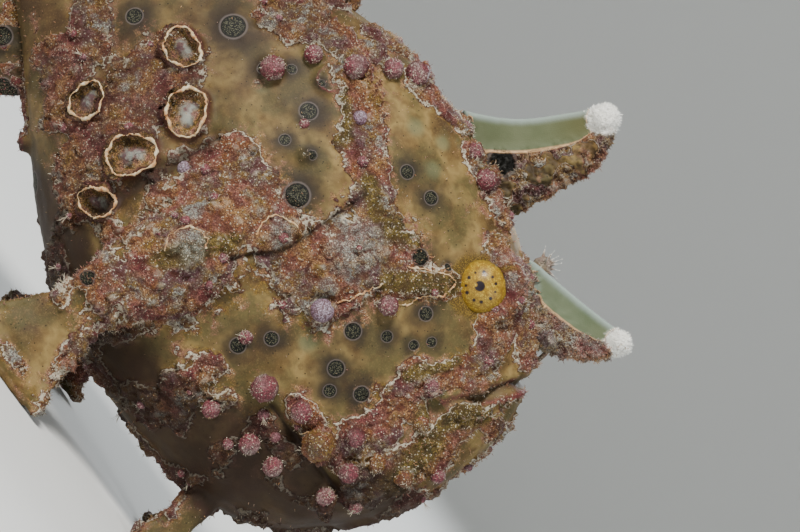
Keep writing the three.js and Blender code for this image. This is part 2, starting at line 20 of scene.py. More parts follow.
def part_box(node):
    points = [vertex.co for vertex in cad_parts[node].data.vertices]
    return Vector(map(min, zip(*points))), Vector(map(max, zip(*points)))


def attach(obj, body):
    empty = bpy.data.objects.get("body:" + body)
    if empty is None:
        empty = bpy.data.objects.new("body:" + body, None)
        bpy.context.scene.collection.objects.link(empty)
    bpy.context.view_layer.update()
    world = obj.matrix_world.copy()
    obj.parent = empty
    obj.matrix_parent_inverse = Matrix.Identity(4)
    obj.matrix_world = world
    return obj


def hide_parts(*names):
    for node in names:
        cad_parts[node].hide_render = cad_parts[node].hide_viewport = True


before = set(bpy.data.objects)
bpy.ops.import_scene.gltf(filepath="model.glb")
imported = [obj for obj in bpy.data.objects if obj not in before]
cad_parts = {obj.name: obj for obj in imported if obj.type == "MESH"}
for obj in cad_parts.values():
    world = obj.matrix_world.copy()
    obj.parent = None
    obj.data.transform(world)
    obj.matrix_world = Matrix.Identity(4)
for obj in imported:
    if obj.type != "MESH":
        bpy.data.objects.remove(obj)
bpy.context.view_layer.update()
scene = bpy.context.scene
MM = 0.001
RIGHT = -1
LEFT = 1
SIDES = (RIGHT, LEFT)

# %% [markdown]
# Sizes along the fish are read off as millimetres forward of a fixed point, to the left of the middle
# plane and above the floor, in the drawing that the solids were made from. The right eye fixes this
# drawing in the frame, so every place below follows the eye if it moves.

# %% Tie the drawing to the frame
EYE_DRAWN = Vector((7.4, -8.6, 67.0))


def middle_of(node):
    low, high = (Vector(corner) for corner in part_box(node))
    return (low + high) / 2


DRAWING = middle_of("eye_right") - EYE_DRAWN * MM


def at(x, y, z):
    """A place in the drawing, in millimetres, as a place in the scene."""
    return DRAWING + Vector((x, y, z)) * MM


print("drawing starts at", tuple(round(v, 4) for v in DRAWING))

# %% [markdown]
# ## Skin from the solids
#
# The real fish has one unbroken skin, while the solids are parted by thin cuts. A voxel remesh fuses
# volumes that overlap, so each copy is swollen a little to close the cuts, fused, and drawn back in by
# the same amount. A sculptor's clay-over-armature gives the same result, only slower.


# %% Copy, fuse and smooth solids
def new_object(name, data):
    made = bpy.data.objects.new(name, data)
    scene.collection.objects.link(made)
    return made


def mesh_from(bm, name):
    mesh = bpy.data.meshes.new(name)
    bm.to_mesh(mesh)
    bm.free()
    return mesh


def evaluated_mesh(made):
    """A mesh of an object as its modifiers or its bevel leave it."""
    evaluated = made.evaluated_get(bpy.context.evaluated_depsgraph_get())
    return bpy.data.meshes.new_from_object(evaluated)


def declare(piece, slot, *nodes):
    """Hangs a piece on the one body of the whole fish and hides the solids it stands for. The slot is not
    used.
    """
    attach(piece, "root")
    if nodes:
        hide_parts(*nodes)


def points_of(mesh, field="co"):
    values = np.empty(len(mesh.vertices) * 3)
    mesh.vertices.foreach_get(field, values)
    return values.reshape(-1, 3)


def move_points(mesh, points):
    mesh.vertices.foreach_set("co", points.ravel())
    mesh.update()


def raise_points(mesh, rise):
    """Moves points out along their normals, all by one rise or each by its own."""
    move_points(mesh, points_of(mesh) + points_of(mesh, "normal") * np.reshape(rise, (-1, 1)) * MM)


def fused(name, nodes, voxel, smoothing, swell=0.0):
    """One closed smooth mesh over copies of several CAD nodes. Sizes are in millimetres."""
    bm = bmesh.new()
    for node in nodes:
        bm.from_mesh(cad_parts[node].data)
    bmesh.ops.remove_doubles(bm, verts=bm.verts, dist=1e-6)
    bm.normal_update()
    for vert in bm.verts:
        vert.co += vert.normal * swell * MM
    piece = new_object(name, mesh_from(bm, name))
    remesh = piece.modifiers.new("fuse", "REMESH")
    remesh.mode = "VOXEL"
    remesh.voxel_size = voxel * MM
    smooth = piece.modifiers.new("relax", "SMOOTH")
    smooth.factor = 0.5
    smooth.iterations = smoothing
    piece.data = evaluated_mesh(piece)
    piece.modifiers.clear()
    raise_points(piece.data, -swell)
    piece.data.shade_smooth()
    print(name, len(piece.data.polygons), "faces")
    return piece


ARMS = ["pectoral_arm_right", "pectoral_arm_left"]
PAWS = ["pectoral_hand_right", "pectoral_hand_left", "pelvic_foot_right", "pelvic_foot_left"]
FLESH = ["head", "lower_jaw", "trunk", "tail_stalk", *ARMS, *PAWS]
SKIN_VOXEL = 0.55
skin = fused("skin", FLESH, voxel=SKIN_VOXEL, swell=0.22, smoothing=3)

# %% [markdown]
# Two helpers are needed again and again. `cloud` is a random field in space, which breaks up every edge.
# `relief_of` finds what stands proud of a smoothed copy: a wart, a lip or a ray of a fin.


# %% Fields over a surface
def drawn(points):
    """Scene points as millimetres of the drawing."""
    return (np.array(points) - np.array(DRAWING)) / MM


def cloud(places, size, octaves=3, seed=0.0):
    shift = Vector((seed, 2.0 * seed, -seed))
    return np.array([noise.fractal(Vector(p) / size + shift, 0.7, 2.0, octaves) for p in places])


def unit(values):
    return np.clip(values, 0.0, 1.0)


def step(low, high, values):
    t = unit((values - low) / (high - low))
    return t * t * (3.0 - 2.0 * t)


def lengths(vectors):
    return np.linalg.norm(vectors, axis=1)


def relief_of(mesh, rounds):
    """How far each point stands proud of a smoothed copy of the mesh, in millimetres."""
    pairs = np.empty(len(mesh.edges) * 2, dtype=np.int64)
    mesh.edges.foreach_get("vertices", pairs)
    ends = pairs.reshape(-1, 2).T
    places = smooth = drawn(points_of(mesh))
    count = np.bincount(pairs, minlength=len(places))[:, None]

    def pulled(one, other):
        return np.stack([np.bincount(one, column, len(places)) for column in smooth[other].T], axis=1)

    for _ in range(rounds):
        smooth = 0.5 * smooth + 0.5 * (pulled(ends[0], ends[1]) + pulled(ends[1], ends[0])) / count
    return np.sum((places - smooth) * points_of(mesh, "normal"), axis=1)


def tree_of(mesh):
    polygons = [tuple(polygon.vertices) for polygon in mesh.polygons]
    return BVHTree.FromPolygons([v.co for v in mesh.vertices], polygons)


def store(mesh, **fields):
    for name, values in fields.items():
        if name not in mesh.attributes:
            mesh.attributes.new(name, "FLOAT", "POINT")
        mesh.attributes[name].data.foreach_set("value", values.astype(np.float32))


# %% [markdown]
# ## What grows where
#
# The marks are listed by where they show on the right flank. The other flank of a live fish carries
# much the same zones with its own spots, so each list is laid on both sides and shifted a little on
# the left.

# %% Marks on the flank
# Each ringed spot is x, z, radius.
RINGED_SPOTS = [
    (-13.7, 67.8, 1.1), (-8.3, 68.6, 1.1), (-1.8, 61.8, 1.3), (1.9, 64.4, 0.6), (-30, 60.7, 1.4),
    (-32.4, 64.9, 0.6), (-36.9, 62.3, 0.8), (-39.7, 58.9, 1.1), (-24.1, 57.3, 0.8), (-28.4, 55.2, 0.9),
    (-20.3, 51.9, 1.9), (5.9, 57.6, 1.1), (10, 55.8, 0.8), (8.8, 53.3, 0.8), (5.3, 50.7, 0.9),
    (1.6, 46.9, 1.3), (4.8, 41.5, 1.3), (10.3, 42.4, 1.2), (7.1, 38.7, 1), (-4.6, 36.1, 1.1),
    (-6.7, 31.3, 1.2), (-27.7, 19, 1.1), (-47.7, 58.7, 2), (-46.1, 18.9, 1.8), (-58, 47, 1.3),
]
PALE_SPOTS = [
    (-14.3, 75, 1.5), (-18.7, 72.9, 1.8), (-11.7, 71.3, 1.7), (-0.9, 40.3, 1.8), (-37.5, 57.2, 1.7),
]
# Each crust is a stroke from one x, z to another, with its half width.
CRUSTS = [
    (-31.4, 71, -20.6, 64.9, 3.6), (-20.6, 64.9, -12.1, 60.3, 3.4), (-6.7, 56.6, -8.3, 47.4, 7.4),
    (-0.6, 56.4, 4.3, 63, 2.3), (-25.5, 40.3, -20.6, 27.5, 8.6), (-29.8, 46.4, -16.3, 45.4, 5),
    (-36.4, 77.5, -25.2, 77.4, 3.2), (-25.2, 77.4, -15.7, 78.9, 2.4), (-9.8, 78.5, 0.2, 76.4, 2.8),
    (4.6, 72.8, 14.8, 70, 3.2), (14.8, 70, 20.9, 66.5, 3.2), (14.8, 66.4, 17.4, 59.3, 2.9),
    (17.4, 59.3, 15.3, 52.6, 2.7), (12.5, 51, 16.3, 41.8, 2.8), (16.3, 41.8, 14.8, 32.6, 3.4),
    (20.9, 58.3, 24, 46.4, 3.6), (12.3, 64, 11.4, 70.5, 1.7), (24, 46.4, 22.5, 34.1, 4),
    (6.4, 33.3, 19.1, 33.8, 2.6), (-48.3, 46.4, -41.5, 26.4, 6.2), (-46, 66, -36, 71, 3),
    (-70, 48, -58, 38, 3.4),
]
# Each bare patch is x, z and half its length and height.
BARE_PATCHES = [
    (-10.7, 69.6, 12, 7.4), (-29, 56.2, 12.5, 8.4), (-1, 38.5, 15.5, 9),
    (7, 52.5, 8.5, 7), (-47, 57, 6, 7), (-45, 18, 8, 6),
]
# Warts are x, z and radius: most like raspberries, a few smooth and lilac, a few conical.
WARTS = [
    (-25.4, 77.8, 2.1), (-28.2, 75.2, 1.8), (-31.5, 70.7, 2.1), (-36.9, 66.4, 1.6), (-14.3, 79.4, 1.5),
    (-10.6, 78.2, 1.5), (-5.7, 77.4, 1.9), (1.6, 53.5, 1.7), (0.9, 30.7, 2.3), (7.4, 33.3, 1.8),
    (15.1, 37.9, 1.6), (19.1, 33.8, 1.7), (-1.1, 22.1, 1.6), (6.6, 24.1, 1.8), (11.5, 25, 1.7),
    (20.2, 28.6, 1.6), (27.6, 44.6, 1.3), (17.6, 61.5, 1.2), (15.7, 51.9, 1.3), (-38.6, 60, 2.1),
    (-7, 33, 1.3), (24, 31.5, 1.4),
]
LILAC_WARTS = [(-3.7, 45, 2), (-24.5, 66.5, 1.3), (-34, 40, 1.3)]
CONE_WARTS = [(12.8, 32.3, 2.7), (19.6, 47.2, 1.5), (24.8, 40.4, 1.9), (20.5, 38, 1.8)]
# Golden grainy skin lies in strokes too.
GOLDEN = [
    (19.5, 49, 25, 62, 3.6), (22.5, 47, 24.5, 38, 3), (14, 57, 12, 50, 1.6),
    (-16, 62, -11, 60, 1.6), (-24, 29, -20, 40, 1.8), (-30, 66, -24, 62.5, 2.2),
    (-8, 60.5, 2, 69.5, 2.4),
]
# The finger is a ridge of crust that points at the eye. Scabs and mounds are x, z and radius.
FINGER = [(-1.6, 55.6, 4.4, 63.2, 2.2)]
SCABS = [(-40.6, 45.3, 3.4), (-40.1, 34.6, 3.5), (-49.4, 50.4, 3), (-51.2, 33.6, 2.8), (-37.2, 26, 2.6)]
MOUNDS = [(-17, 46.1, 3.4), (-8.5, 54.5, 6), (-22.9, 34.1, 3.6), (-6.2, 47.6, 2.2), (9, 71.5, 2.6)]
# Torn edges of crust that catch the light, each a line of x, z places.
PALE_EDGES = [
    [(1.3, 54.2), (2.7, 55.4), (3.3, 56.7), (3, 58), (3.8, 59.6), (5.3, 61.5), (4.9, 62.9), (4.7, 64.1)],
    [(4.7, 64.1), (3.4, 63.9), (1.5, 62.7), (-0.2, 61), (-1.9, 59.3)],
    [(-18.8, 43.4), (-19.8, 45.1), (-19.9, 46.6), (-19.3, 47.8), (-18, 48.5), (-16.6, 49.1), (-15.9, 48.6)],
    [(-3.4, 47.4), (-2.7, 49.1), (-2.2, 51.6), (-1.9, 53.6), (-1.7, 55.4)],
    [(-24.8, 31), (-26.1, 32.5), (-25.9, 34.4), (-25.5, 36), (-24, 36.9), (-22.1, 37), (-21.3, 35.7)],
    [(9.7, 31.1), (10.5, 32.4), (12.1, 34.2)],
]
rng = random.Random(8)
skin_tree = tree_of(skin.data)
OUTSIDE = 70.0


def on_flank(tree, x, z, side):
    """Where a surface shows at x and z from that side, and which way it faces there."""
    return tree.ray_cast(at(x, OUTSIDE * side, z), Vector((0.0, -side, 0.0)))[:2]


def both_flanks(marks, shift):
    """Marks on the right flank, and on the left with each one shifted."""
    found = []
    for side in SIDES:
        for x, z, size in marks:
            move = 0.0 if side == RIGHT else shift
            x, z = x + move * rng.uniform(-1, 1), z + move * rng.uniform(-1, 1)
            place, normal = on_flank(skin_tree, x, z, side)
            if place:
                found.append((place, normal, size))
    return found


ringed = both_flanks(RINGED_SPOTS, 2.0)
pale = both_flanks(PALE_SPOTS, 2.5)
scabs = both_flanks(SCABS, 0.0)
mounds = both_flanks(MOUNDS, 1.5)
print(len(ringed), "ringed spots and", len(scabs), "scabs")


# %% Measure the skin against the marks
def nearest_mark(places, marks):
    """Distance to the nearest mark as a share of its size, and which mark that is."""
    best = np.full(len(places), 9.0)
    which = np.zeros(len(places), dtype=int)
    for i, (place, _, size) in enumerate(marks):
        share = lengths(places - drawn(place)) / size
        closer = share < best
        best[closer] = share[closer]
        which[closer] = i
    return best, which


def stroke_share(places, start, end, width):
    """1 on the middle of a stroke, 0 at its edge and less outside it."""
    along = end - start
    t = unit((places - start) @ along / (along @ along))
    return 1.0 - lengths(places - start - t[:, None] * along) / width


def widest_stroke(places, strokes):
    field = np.full(len(places), -2.0)
    for side in SIDES:
        for x0, z0, x1, z1, width in strokes:
            ends = [on_flank(skin_tree, x, z, side)[0] for x, z in ((x0, z0), (x1, z1))]
            if all(ends):
                field = np.maximum(field, stroke_share(places, *drawn(ends), width))
    return field


def crust_field(places):
    field = widest_stroke(places, CRUSTS)
    bare = np.full(len(places), -1.0)
    for x, z, length, height in BARE_PATCHES:
        reach = np.hypot((places[:, 0] - x) / length, (places[:, 2] - z) / height)
        bare = np.maximum(bare, 1.0 - reach)
    wild = 1.5 * cloud(places, 9.0, 2, 3.0) - 0.15 - 3.0 * np.maximum(bare, 0.0)
    wild -= 0.6 * step(0.3, 0.0, np.abs(bare))
    return np.maximum(field, np.clip(wild, -1.0, 0.6))


MOUTH_CORNER = np.array((19.0, 51.2))
MOUTH_TOP = np.array((23.8, 63.8))


def mouth_line(places, width):
    """1 along the closed mouth, fading to 0 over a width in millimetres."""
    along = (MOUTH_TOP - MOUTH_CORNER) / np.linalg.norm(MOUTH_TOP - MOUTH_CORNER)
    offset = places[:, [0, 2]] - MOUTH_CORNER
    up = offset @ along
    across = offset @ np.array((along[1], -along[0])) + 0.5 * np.sin(up * 0.7)
    ends = step(-3.0, 0.6, up) * step(16.0, 10.0, np.abs(places[:, 1])) * (places[:, 0] > 12.0)
    return np.exp(-((across / width) ** 2)) * np.maximum(ends, 0.0)


places = drawn(points_of(skin.data))
forward, sideways, height = places[:, 0], np.abs(places[:, 1]), places[:, 2]
normals = points_of(skin.data, "normal")
ragged = 0.3 * cloud(places, 2.6, 3, 7.0) + 0.22 * cloud(places, 0.9, 2, 1.0)
crust_reach = crust_field(places) + ragged - 1.3 * mouth_line(places, 1.3)
crust = step(-0.02, 0.12, crust_reach)
finger = step(0.05, 0.35, widest_stroke(places, FINGER) + 0.5 * ragged)
gold = np.maximum(step(-0.1, 0.5, widest_stroke(places, GOLDEN) + 0.6 * ragged), finger)
scab_share, scab_index = nearest_mark(places, scabs)
mound_share, _ = nearest_mark(places, mounds)
print("crust covers", round(float(crust.mean()) * 100), "% of the skin")

# %% [markdown]
# ## Relief
#
# Every form coarser than half a millimetre is a real move of the mesh, because it changes the outline
# and catches light: plates of crust, the hollow scabs with their scalloped rims, grainy warts, the deep
# line of the mouth and the folds behind the arm. Finer grain is left to the bump in the paint.

# %% Raise the crusts, scabs and folds
EYE_RADIUS = 4.85
FLANK = 8.0
MOUND_HEIGHT = 1.5
FINGER_HEIGHT = 0.95
MOUTH_DEPTH = 1.5
FOLD_DEPTH = 0.9
# Each fold runs from one x, z to another, with its half width.
FOLDS = [
    (-14.4, 60.2, -14.4, 46.4, 0.9), (-14.4, 46.4, -18.0, 38.0, 0.8), (4.0, 30.0, 20.0, 30.5, 0.8),
    (-34.8, 46.5, -35.9, 25.0, 2.4),
]


def outline_wave(angle, index):
    """How far a scab's outline is drawn in at an angle, as a share of its radius."""
    wave = 0.12 * np.sin(2.0 * angle + 2.4 * index) + 0.05 * np.sin(3.0 * angle + 1.7 * index)
    return wave + 0.035 * np.sin(7.0 * angle + index)


def pebbles(size, seed):
    """Packed cushions: 1 on top of each and 0 in the creases between them."""
    gaps = [noise.voronoi(Vector(p) / size + Vector((seed, -seed, seed)))[0][:2] for p in places]
    gaps = np.array(gaps)
    return step(0.0, 0.42, gaps[:, 1] - gaps[:, 0])


centres = drawn([mark[0] for mark in scabs])[scab_index]
scab_angle = np.arctan2(height - centres[:, 2], forward - centres[:, 0])
scab_share = scab_share + outline_wave(scab_angle, scab_index)
rims = np.exp(-(((scab_share - 1.0) / 0.15) ** 2)) * (scab_share < 2.0)
groove = mouth_line(places, 0.75)
folds = np.zeros(len(places))
flat = places[:, [0, 2]] + 0.5 * ragged[:, None]
for x0, z0, x1, z1, width in FOLDS:
    inside = stroke_share(flat, np.array((x0, z0)), np.array((x1, z1)), width)
    folds = np.maximum(folds, step(0.0, 1.0, inside))
folds *= sideways > 6.0
grain = cloud(places, 1.5, 3, 5.0)
lumps = cloud(places, 5.0, 2, 11.0)
fine_grain = cloud(places, 0.7, 2, 9.0)
cushions = pebbles(3.3, 3.0)
grains = pebbles(1.45, 8.0)
peak = unit(0.55 * cushions + 0.45 * grains + 0.25 * fine_grain)
mound = step(1.15, 0.35, mound_share + 0.3 * ragged)
wart_relief = unit(relief_of(skin.data, 60) / 0.9)
crust *= step(0.85, 1.05, scab_share)
rise = crust * (0.3 + cushions * (0.5 + 0.6 * lumps) + 0.36 * grains + 0.18 * fine_grain)
rise += 0.16 * cloud(places, 5.0, 3, 2.0) + MOUND_HEIGHT * mound
rise += FINGER_HEIGHT * finger * (1.0 - 0.5 * crust)
rise += rims * 0.7 - 0.6 * step(0.95, 0.6, scab_share) + 0.75 * step(0.6, 0.1, scab_share)
rise += wart_relief * 0.25 * (grain + fine_grain)
rise -= MOUTH_DEPTH * groove + FOLD_DEPTH * folds
from_eye = np.hypot(forward - EYE_DRAWN.x, height - EYE_DRAWN.z)
rise *= step(3.9, 5.9, from_eye + 9.0 * (sideways < FLANK)) * step(0.0, 2.0, height)
raise_points(skin.data, rise)
# The turret's lip is drawn in against the eye, so no gap shows round it.
for side in SIDES:
    points = drawn(points_of(skin.data))
    offset = points - np.array((EYE_DRAWN.x, side * abs(EYE_DRAWN.y), EYE_DRAWN.z))
    away = lengths(offset)
    drawn_in = step(1.35, 0.55, np.abs(away - EYE_RADIUS - 0.25)) * (np.abs(points[:, 1]) > FLANK)
    target = EYE_RADIUS + 0.55 * (away - EYE_RADIUS - 0.55)
    points += offset * (drawn_in * (target / away - 1.0))[:, None]
    move_points(skin.data, points * MM + np.array(DRAWING))
print("relief from", round(float(rise.min()), 2), "to", round(float(rise.max()), 2), "mm")

# %% Record what the paint needs
spot_share, _ = nearest_mark(places, ringed)
pale_share, _ = nearest_mark(places, pale)
# Painted shade: the underside is darkened below this line, over skin that is also dark there.
dark_line = 22.5 + 11.0 * step(-10.0, 12.0, forward) + 9.0 * step(17.0, 27.0, forward)
belly = step(dark_line + 2.5, dark_line - 3.5, height + 2.0 * cloud(places, 4.0, 2, 4.0))
limbs = np.maximum(step(16.5, 20.0, sideways), step(12.0, 8.0, height) * (sideways > 3.0) * 0.8)
belly *= 1.0 - limbs
# Painted shade: the skin darkens towards the tail, where the light falls off.
tail_falloff_shade = step(-14.0, -42.0, forward + 0.35 * (height - 50.0))
belly = np.maximum(belly, 0.45 * tail_falloff_shade * (1.0 - limbs))
turret = step(5.9, 4.9, from_eye + 0.5 * ragged) * (sideways > FLANK) * (1.0 - crust)
SKIN_FIELDS = dict.fromkeys("wart gold pale belly groove web tip turret ice".split(), 0.0)
SKIN_FIELDS |= {"crust": 0.5, "scab": 1.0, "ocellus": 1.0, "peak": 1.0}
# Distances from spots and scabs are stored up to this many times their radius.
REACH = 4.0


def store_skin(mesh, **fields):
    """Stores the paint's fields, with the plain value for each one that isn't given."""
    count = len(mesh.vertices)
    store(mesh, **{name: fields.get(name, np.full(count, plain)) for name, plain in SKIN_FIELDS.items()})


store_skin(
    skin.data,
    crust=unit(0.5 + 0.5 * crust_reach),
    wart=wart_relief * (1.0 - 0.6 * crust) * (1.0 - limbs) ** 2,
    gold=gold,
    scab=unit(scab_share / REACH),
    ocellus=unit(spot_share / REACH),
    pale=step(1.2, 0.4, pale_share),
    belly=belly,
    groove=unit(groove + 0.95 * folds),
    turret=turret,
    peak=peak,
    ice=step(0.95, 0.25, mound_share + 0.6 * ragged),
)

# %% [markdown]
# ## Free spines and fins
#
# The two free spines have a thick grainy front edge, a thin clear web behind it and a white knob at the
# tip. The fins are rays with skin between them. Both are fused from their own solids with smaller
# voxels, because a web one millimetre thick would vanish in the coarse skin.

# %% Grow the head spines
SPINE_VOXEL = 0.3
KNOBS = {"second_dorsal_spine": (27.6, 0.0, 80.0, 1.95), "third_dorsal_spine": (-2.9, 0.0, 98.6, 2.45)}
body_tree = tree_of(skin.data)
ROOT_REACH = 1.2
ROOT_DEPTH = 1.4


def rooted(mesh):
    """Draws the points that face the body across the thin cut down into the skin."""
    points = points_of(mesh)
    for i, point in enumerate(points):
        place, normal, _, gap = body_tree.find_nearest(Vector(point), ROOT_REACH * MM)
        if place:
            share = 1.0 - gap / (ROOT_REACH * MM)
            points[i] -= np.array(normal) * ROOT_DEPTH * MM * share
    move_points(mesh, points)


def grown(node, voxel, smoothing):
    """A piece fused over one node and rooted in the skin, with its mesh and its places."""
    piece = fused(node + "_skin", [node], voxel, smoothing)
    rooted(piece.data)
    return piece, piece.data, drawn(points_of(piece.data))


def grow_spine(node):
    piece, mesh, here = grown(node, SPINE_VOXEL, smoothing=2)
    *knob, radius = KNOBS[node]
    from_knob = lengths(here - np.array(knob))
    tip = step(radius + 0.9, radius - 0.1, from_knob + 0.5 * cloud(here, 0.8, 2, 3.0))
    forward = points_of(mesh, "normal") @ np.array((0.8, 0.0, -0.6))
    web = step(1.05, 0.55, np.abs(here[:, 1])) * step(radius, radius + 1.0, from_knob)
    web *= step(0.55, 0.2, forward)
    coarse = cloud(here, 1.2, 3, 6.0)
    fine = cloud(here, 0.55, 2, 2.0)
    lift = (1.0 - web) * (1.0 - tip) * (0.25 + 0.75 * coarse + 0.3 * fine) + tip * 0.35 * fine
    raise_points(mesh, lift)
    spots = [(at(-6.8, side * 2.2, 81.3), None, 2.4) for side in SIDES]
    spot_share, _ = nearest_mark(here, spots)
    reach = 0.5 + 0.5 * (1.0 - 2.0 * web) * step(0.9, 2.0, spot_share)
    yellow = 0.2 * step(8.0, 3.0, from_knob)
    # Painted shade: on the third spine, the hollows of the lumpy arm are darkened.
    shade, frosty = 0.0, 0.45
    if node == "third_dorsal_spine":
        reach = np.minimum(reach, 0.5 + 0.9 * (cloud(here, 3.0, 2, 5.0) + 0.12))
        yellow = 0.4 + 0.5 * step(11.0, 3.0, from_knob)
        shade, frosty = 0.6, 0.0
    outer_edge = here[(web > 0.5) & (forward < -0.5)]
    from_edge = np.array([lengths(outer_edge - point).min() for point in here])
    store_skin(
        mesh,
        crust=unit(reach),
        web=web,
        tip=tip,
        gold=yellow * web,
        belly=shade * (1.0 - web) * step(0.55, 0.3, tip) * (coarse < 0.12),
        ocellus=np.clip(spot_share / REACH, 0.236, 1.0),
        peak=unit(0.45 + 0.9 * coarse + 0.5 * fine),
        ice=np.where(web > 0.5, 0.55 * step(1.3, 0.0, from_edge), frosty),
    )
    return piece


spines = [grow_spine(node) for node in KNOBS]

# %% Grow the fins
FIN_VOXEL = 0.36
FINS = ["dorsal_fin", "anal_fin", "tail_fin"]


def grow_fin(node):
    piece, mesh, here = grown(node, FIN_VOXEL, smoothing=5)
    ray = unit(relief_of(mesh, 25) / 0.25)
    coarse = cloud(here, 1.6, 3, 6.0)
    lift = 0.1 * coarse + 0.22 * ray * unit(cloud(here, 0.9, 2, 1.0) + 0.3)
    lift *= step(0.2, 1.2, here[:, 2])
    raise_points(mesh, lift)
    spots = [(points_of(mesh)[rng.randrange(len(here))], None, rng.uniform(0.8, 1.6)) for _ in range(12)]
    spot_share, _ = nearest_mark(here, spots)
    patches = cloud(here, 4.5, 4, 4.0) + 0.3 * ray + 0.25 * coarse
    reach = unit(0.5 + 1.1 * (patches - 0.15))
    peak = np.clip(0.5 + 0.5 * coarse, 0.0, 0.8)
    # Painted shade: the fins lie towards the tail and are darkened evenly, as the skin is there.
    shade = np.full(len(here), 0.25)
    store_skin(mesh, crust=reach, peak=peak, ocellus=unit(spot_share / REACH), belly=shade)
    return piece


fins = [grow_fin(node) for node in FINS]

# %% Grow the fishing rod and its lure
rod = fused("fishing_rod", ["illicium", "esca"], voxel=0.18, swell=0.16, smoothing=1)
LURE = (10.6, 3.2, 77.0)
from_lure = lengths(drawn(points_of(rod.data)) - np.array(LURE))
lure_tip = step(1.8, 3.4, from_lure) * (from_lure < 6.0)
store_skin(rod.data, crust=np.ones(len(from_lure)), tip=lure_tip)

# %% [markdown]
# ## Skin paint
#
# One paint serves every fleshy piece, and it reads the fields stored on the mesh to know where it is.
# It is laid like a model maker's airbrush work: a mottled tan ground, freckles, the crust colours, then
# spots, rims and painted shade in the folds, the mouth, the creases, under crust edges, on the underside
# and towards the tail. All patterns hang on object coordinates in millimetres.


# %% Node helpers
class Paint:
    """A material whose nodes are added a step at a time. A value may be the name of a stored field."""

    def __init__(self, name):
        self.material = bpy.data.materials.new(name)
        self.material.use_nodes = True
        self.nodes = self.material.node_tree.nodes
        where = self.nodes.new("ShaderNodeTexCoord").outputs["Object"]
        self.place = self.moved("MULTIPLY", where, [1.0 / MM] * 3)
        self.bead_sets = {}

    def put(self, socket, value):
        if isinstance(value, str):
            value = self.node("Attribute", {}, attribute_name=value).outputs["Fac"]
        if isinstance(value, bpy.types.NodeSocket):
            self.material.node_tree.links.new(value, socket)
        else:
            socket.default_value = (*value, 1.0) if isinstance(value, tuple) else value

    def node(self, kind, inputs, **settings):
        node = self.nodes.new("ShaderNode" + kind)
        for name, value in settings.items():
            setattr(node, name, value)
        for name, value in inputs.items():
            self.put(node.inputs[name], value)
        return node

    def moved(self, operation, vector, by):
        return self.node("VectorMath", {0: vector, 1: by}, operation=operation).outputs[0]

    def math(self, operation, a, b, clamp=False):
        return self.node("Math", {0: a, 1: b}, operation=operation, use_clamp=clamp).outputs[0]

    def times(self, a, b):
        return self.math("MULTIPLY", a, b)

    def noise(self, size, detail=3.0, roughness=0.55, seed=0.0):
        place = self.moved("ADD", self.place, [seed, -seed, 2.0 * seed]) if seed else self.place
        inputs = {"Vector": place, "Scale": 1.0 / size, "Detail": detail, "Roughness": roughness}
        return self.node("TexNoise", inputs).outputs["Fac"]

    def beads(self, size):
        """Round cells: how far each point is from its bead's middle, and two random tones a bead."""
        if size not in self.bead_sets:
            cells = self.node("TexVoronoi", {"Vector": self.place, "Scale": 1.0 / size}).outputs
            tones = self.node("SeparateColor", {0: cells["Color"]}).outputs
            self.bead_sets[size] = {"distance": cells["Distance"], "tone": tones[0], "pick": tones[1]}
        return self.bead_sets[size]

    def ramp(self, value, *stops):
        """Colours or grey levels along a value. Each stop is a place and a colour or a level."""
        node = self.node("ValToRGB", {0: value})
        elements = node.color_ramp.elements
        while len(elements) < len(stops):
            elements.new(0.5)
        for element, (place, colour) in zip(elements, stops):
            element.position = place
            element.color = (*(colour if isinstance(colour, tuple) else (colour,) * 3), 1.0)
        return node.outputs["Color"]

    def mix(self, share, base, over, blend="MIX"):
        return self.node("Mix", {0: share, 6: base, 7: over}, data_type="RGBA", blend_type=blend).outputs[2]

    def layers(self, colour, *laid):
        """Colours laid one over the other, each with its share."""
        for share, over in laid:
            colour = self.mix(share, colour, over)
        return colour

    def bump(self, height, depth, normal=None):
        inputs = {"Distance": depth * MM, "Height": height}
        if normal:
            inputs["Normal"] = normal
        return self.node("Bump", inputs).outputs[0]

    def bead_tops(self, size):
        return self.math("SUBTRACT", 1.0, self.beads(size)["distance"])

    def finish(self, colour, roughness, specular, **sockets):
        sockets |= {"Base_Color": colour, "Roughness": roughness, "Specular_IOR_Level": specular}
        for name, value in sockets.items():
            self.put(self.nodes["Principled BSDF"].inputs[name.replace("_", " ")], value)
        return self.material


# %% Mix the skin paint
INK = (0.003, 0.003, 0.002)
UMBER = (0.019, 0.009, 0.006)
BROWN = (0.06, 0.034, 0.013)
TAN = (0.122, 0.074, 0.025)
GOLD_TAN = (0.225, 0.155, 0.056)
OLIVE = (0.066, 0.056, 0.02)
GREY_GREEN = (0.12, 0.135, 0.07)
SMOKE = (0.02, 0.015, 0.01)
MAROON = (0.058, 0.013, 0.012)
RUST = (0.24, 0.085, 0.028)
RASPBERRY = (0.2, 0.045, 0.05)
DUSTY_PINK = (0.38, 0.17, 0.12)
PEACH = (0.46, 0.25, 0.115)
OLD_GOLD = (0.25, 0.15, 0.026)
MAUVE = (0.18, 0.1, 0.115)
ASH = (0.2, 0.175, 0.13)
ICE = (0.36, 0.39, 0.35)
BONE = (0.6, 0.54, 0.42)
LILAC = (0.088, 0.072, 0.066)
WEB_SHADE = (0.085, 0.11, 0.06)
WEB_GREEN = (0.125, 0.15, 0.09)
WEB_GOLD = (0.08, 0.078, 0.028)
WEB_RIM = (0.34, 0.42, 0.41)
CREAM = (0.68, 0.42, 0.22)
KNOB_WHITE = (0.97, 0.96, 0.9)
GRAIN = 0.2


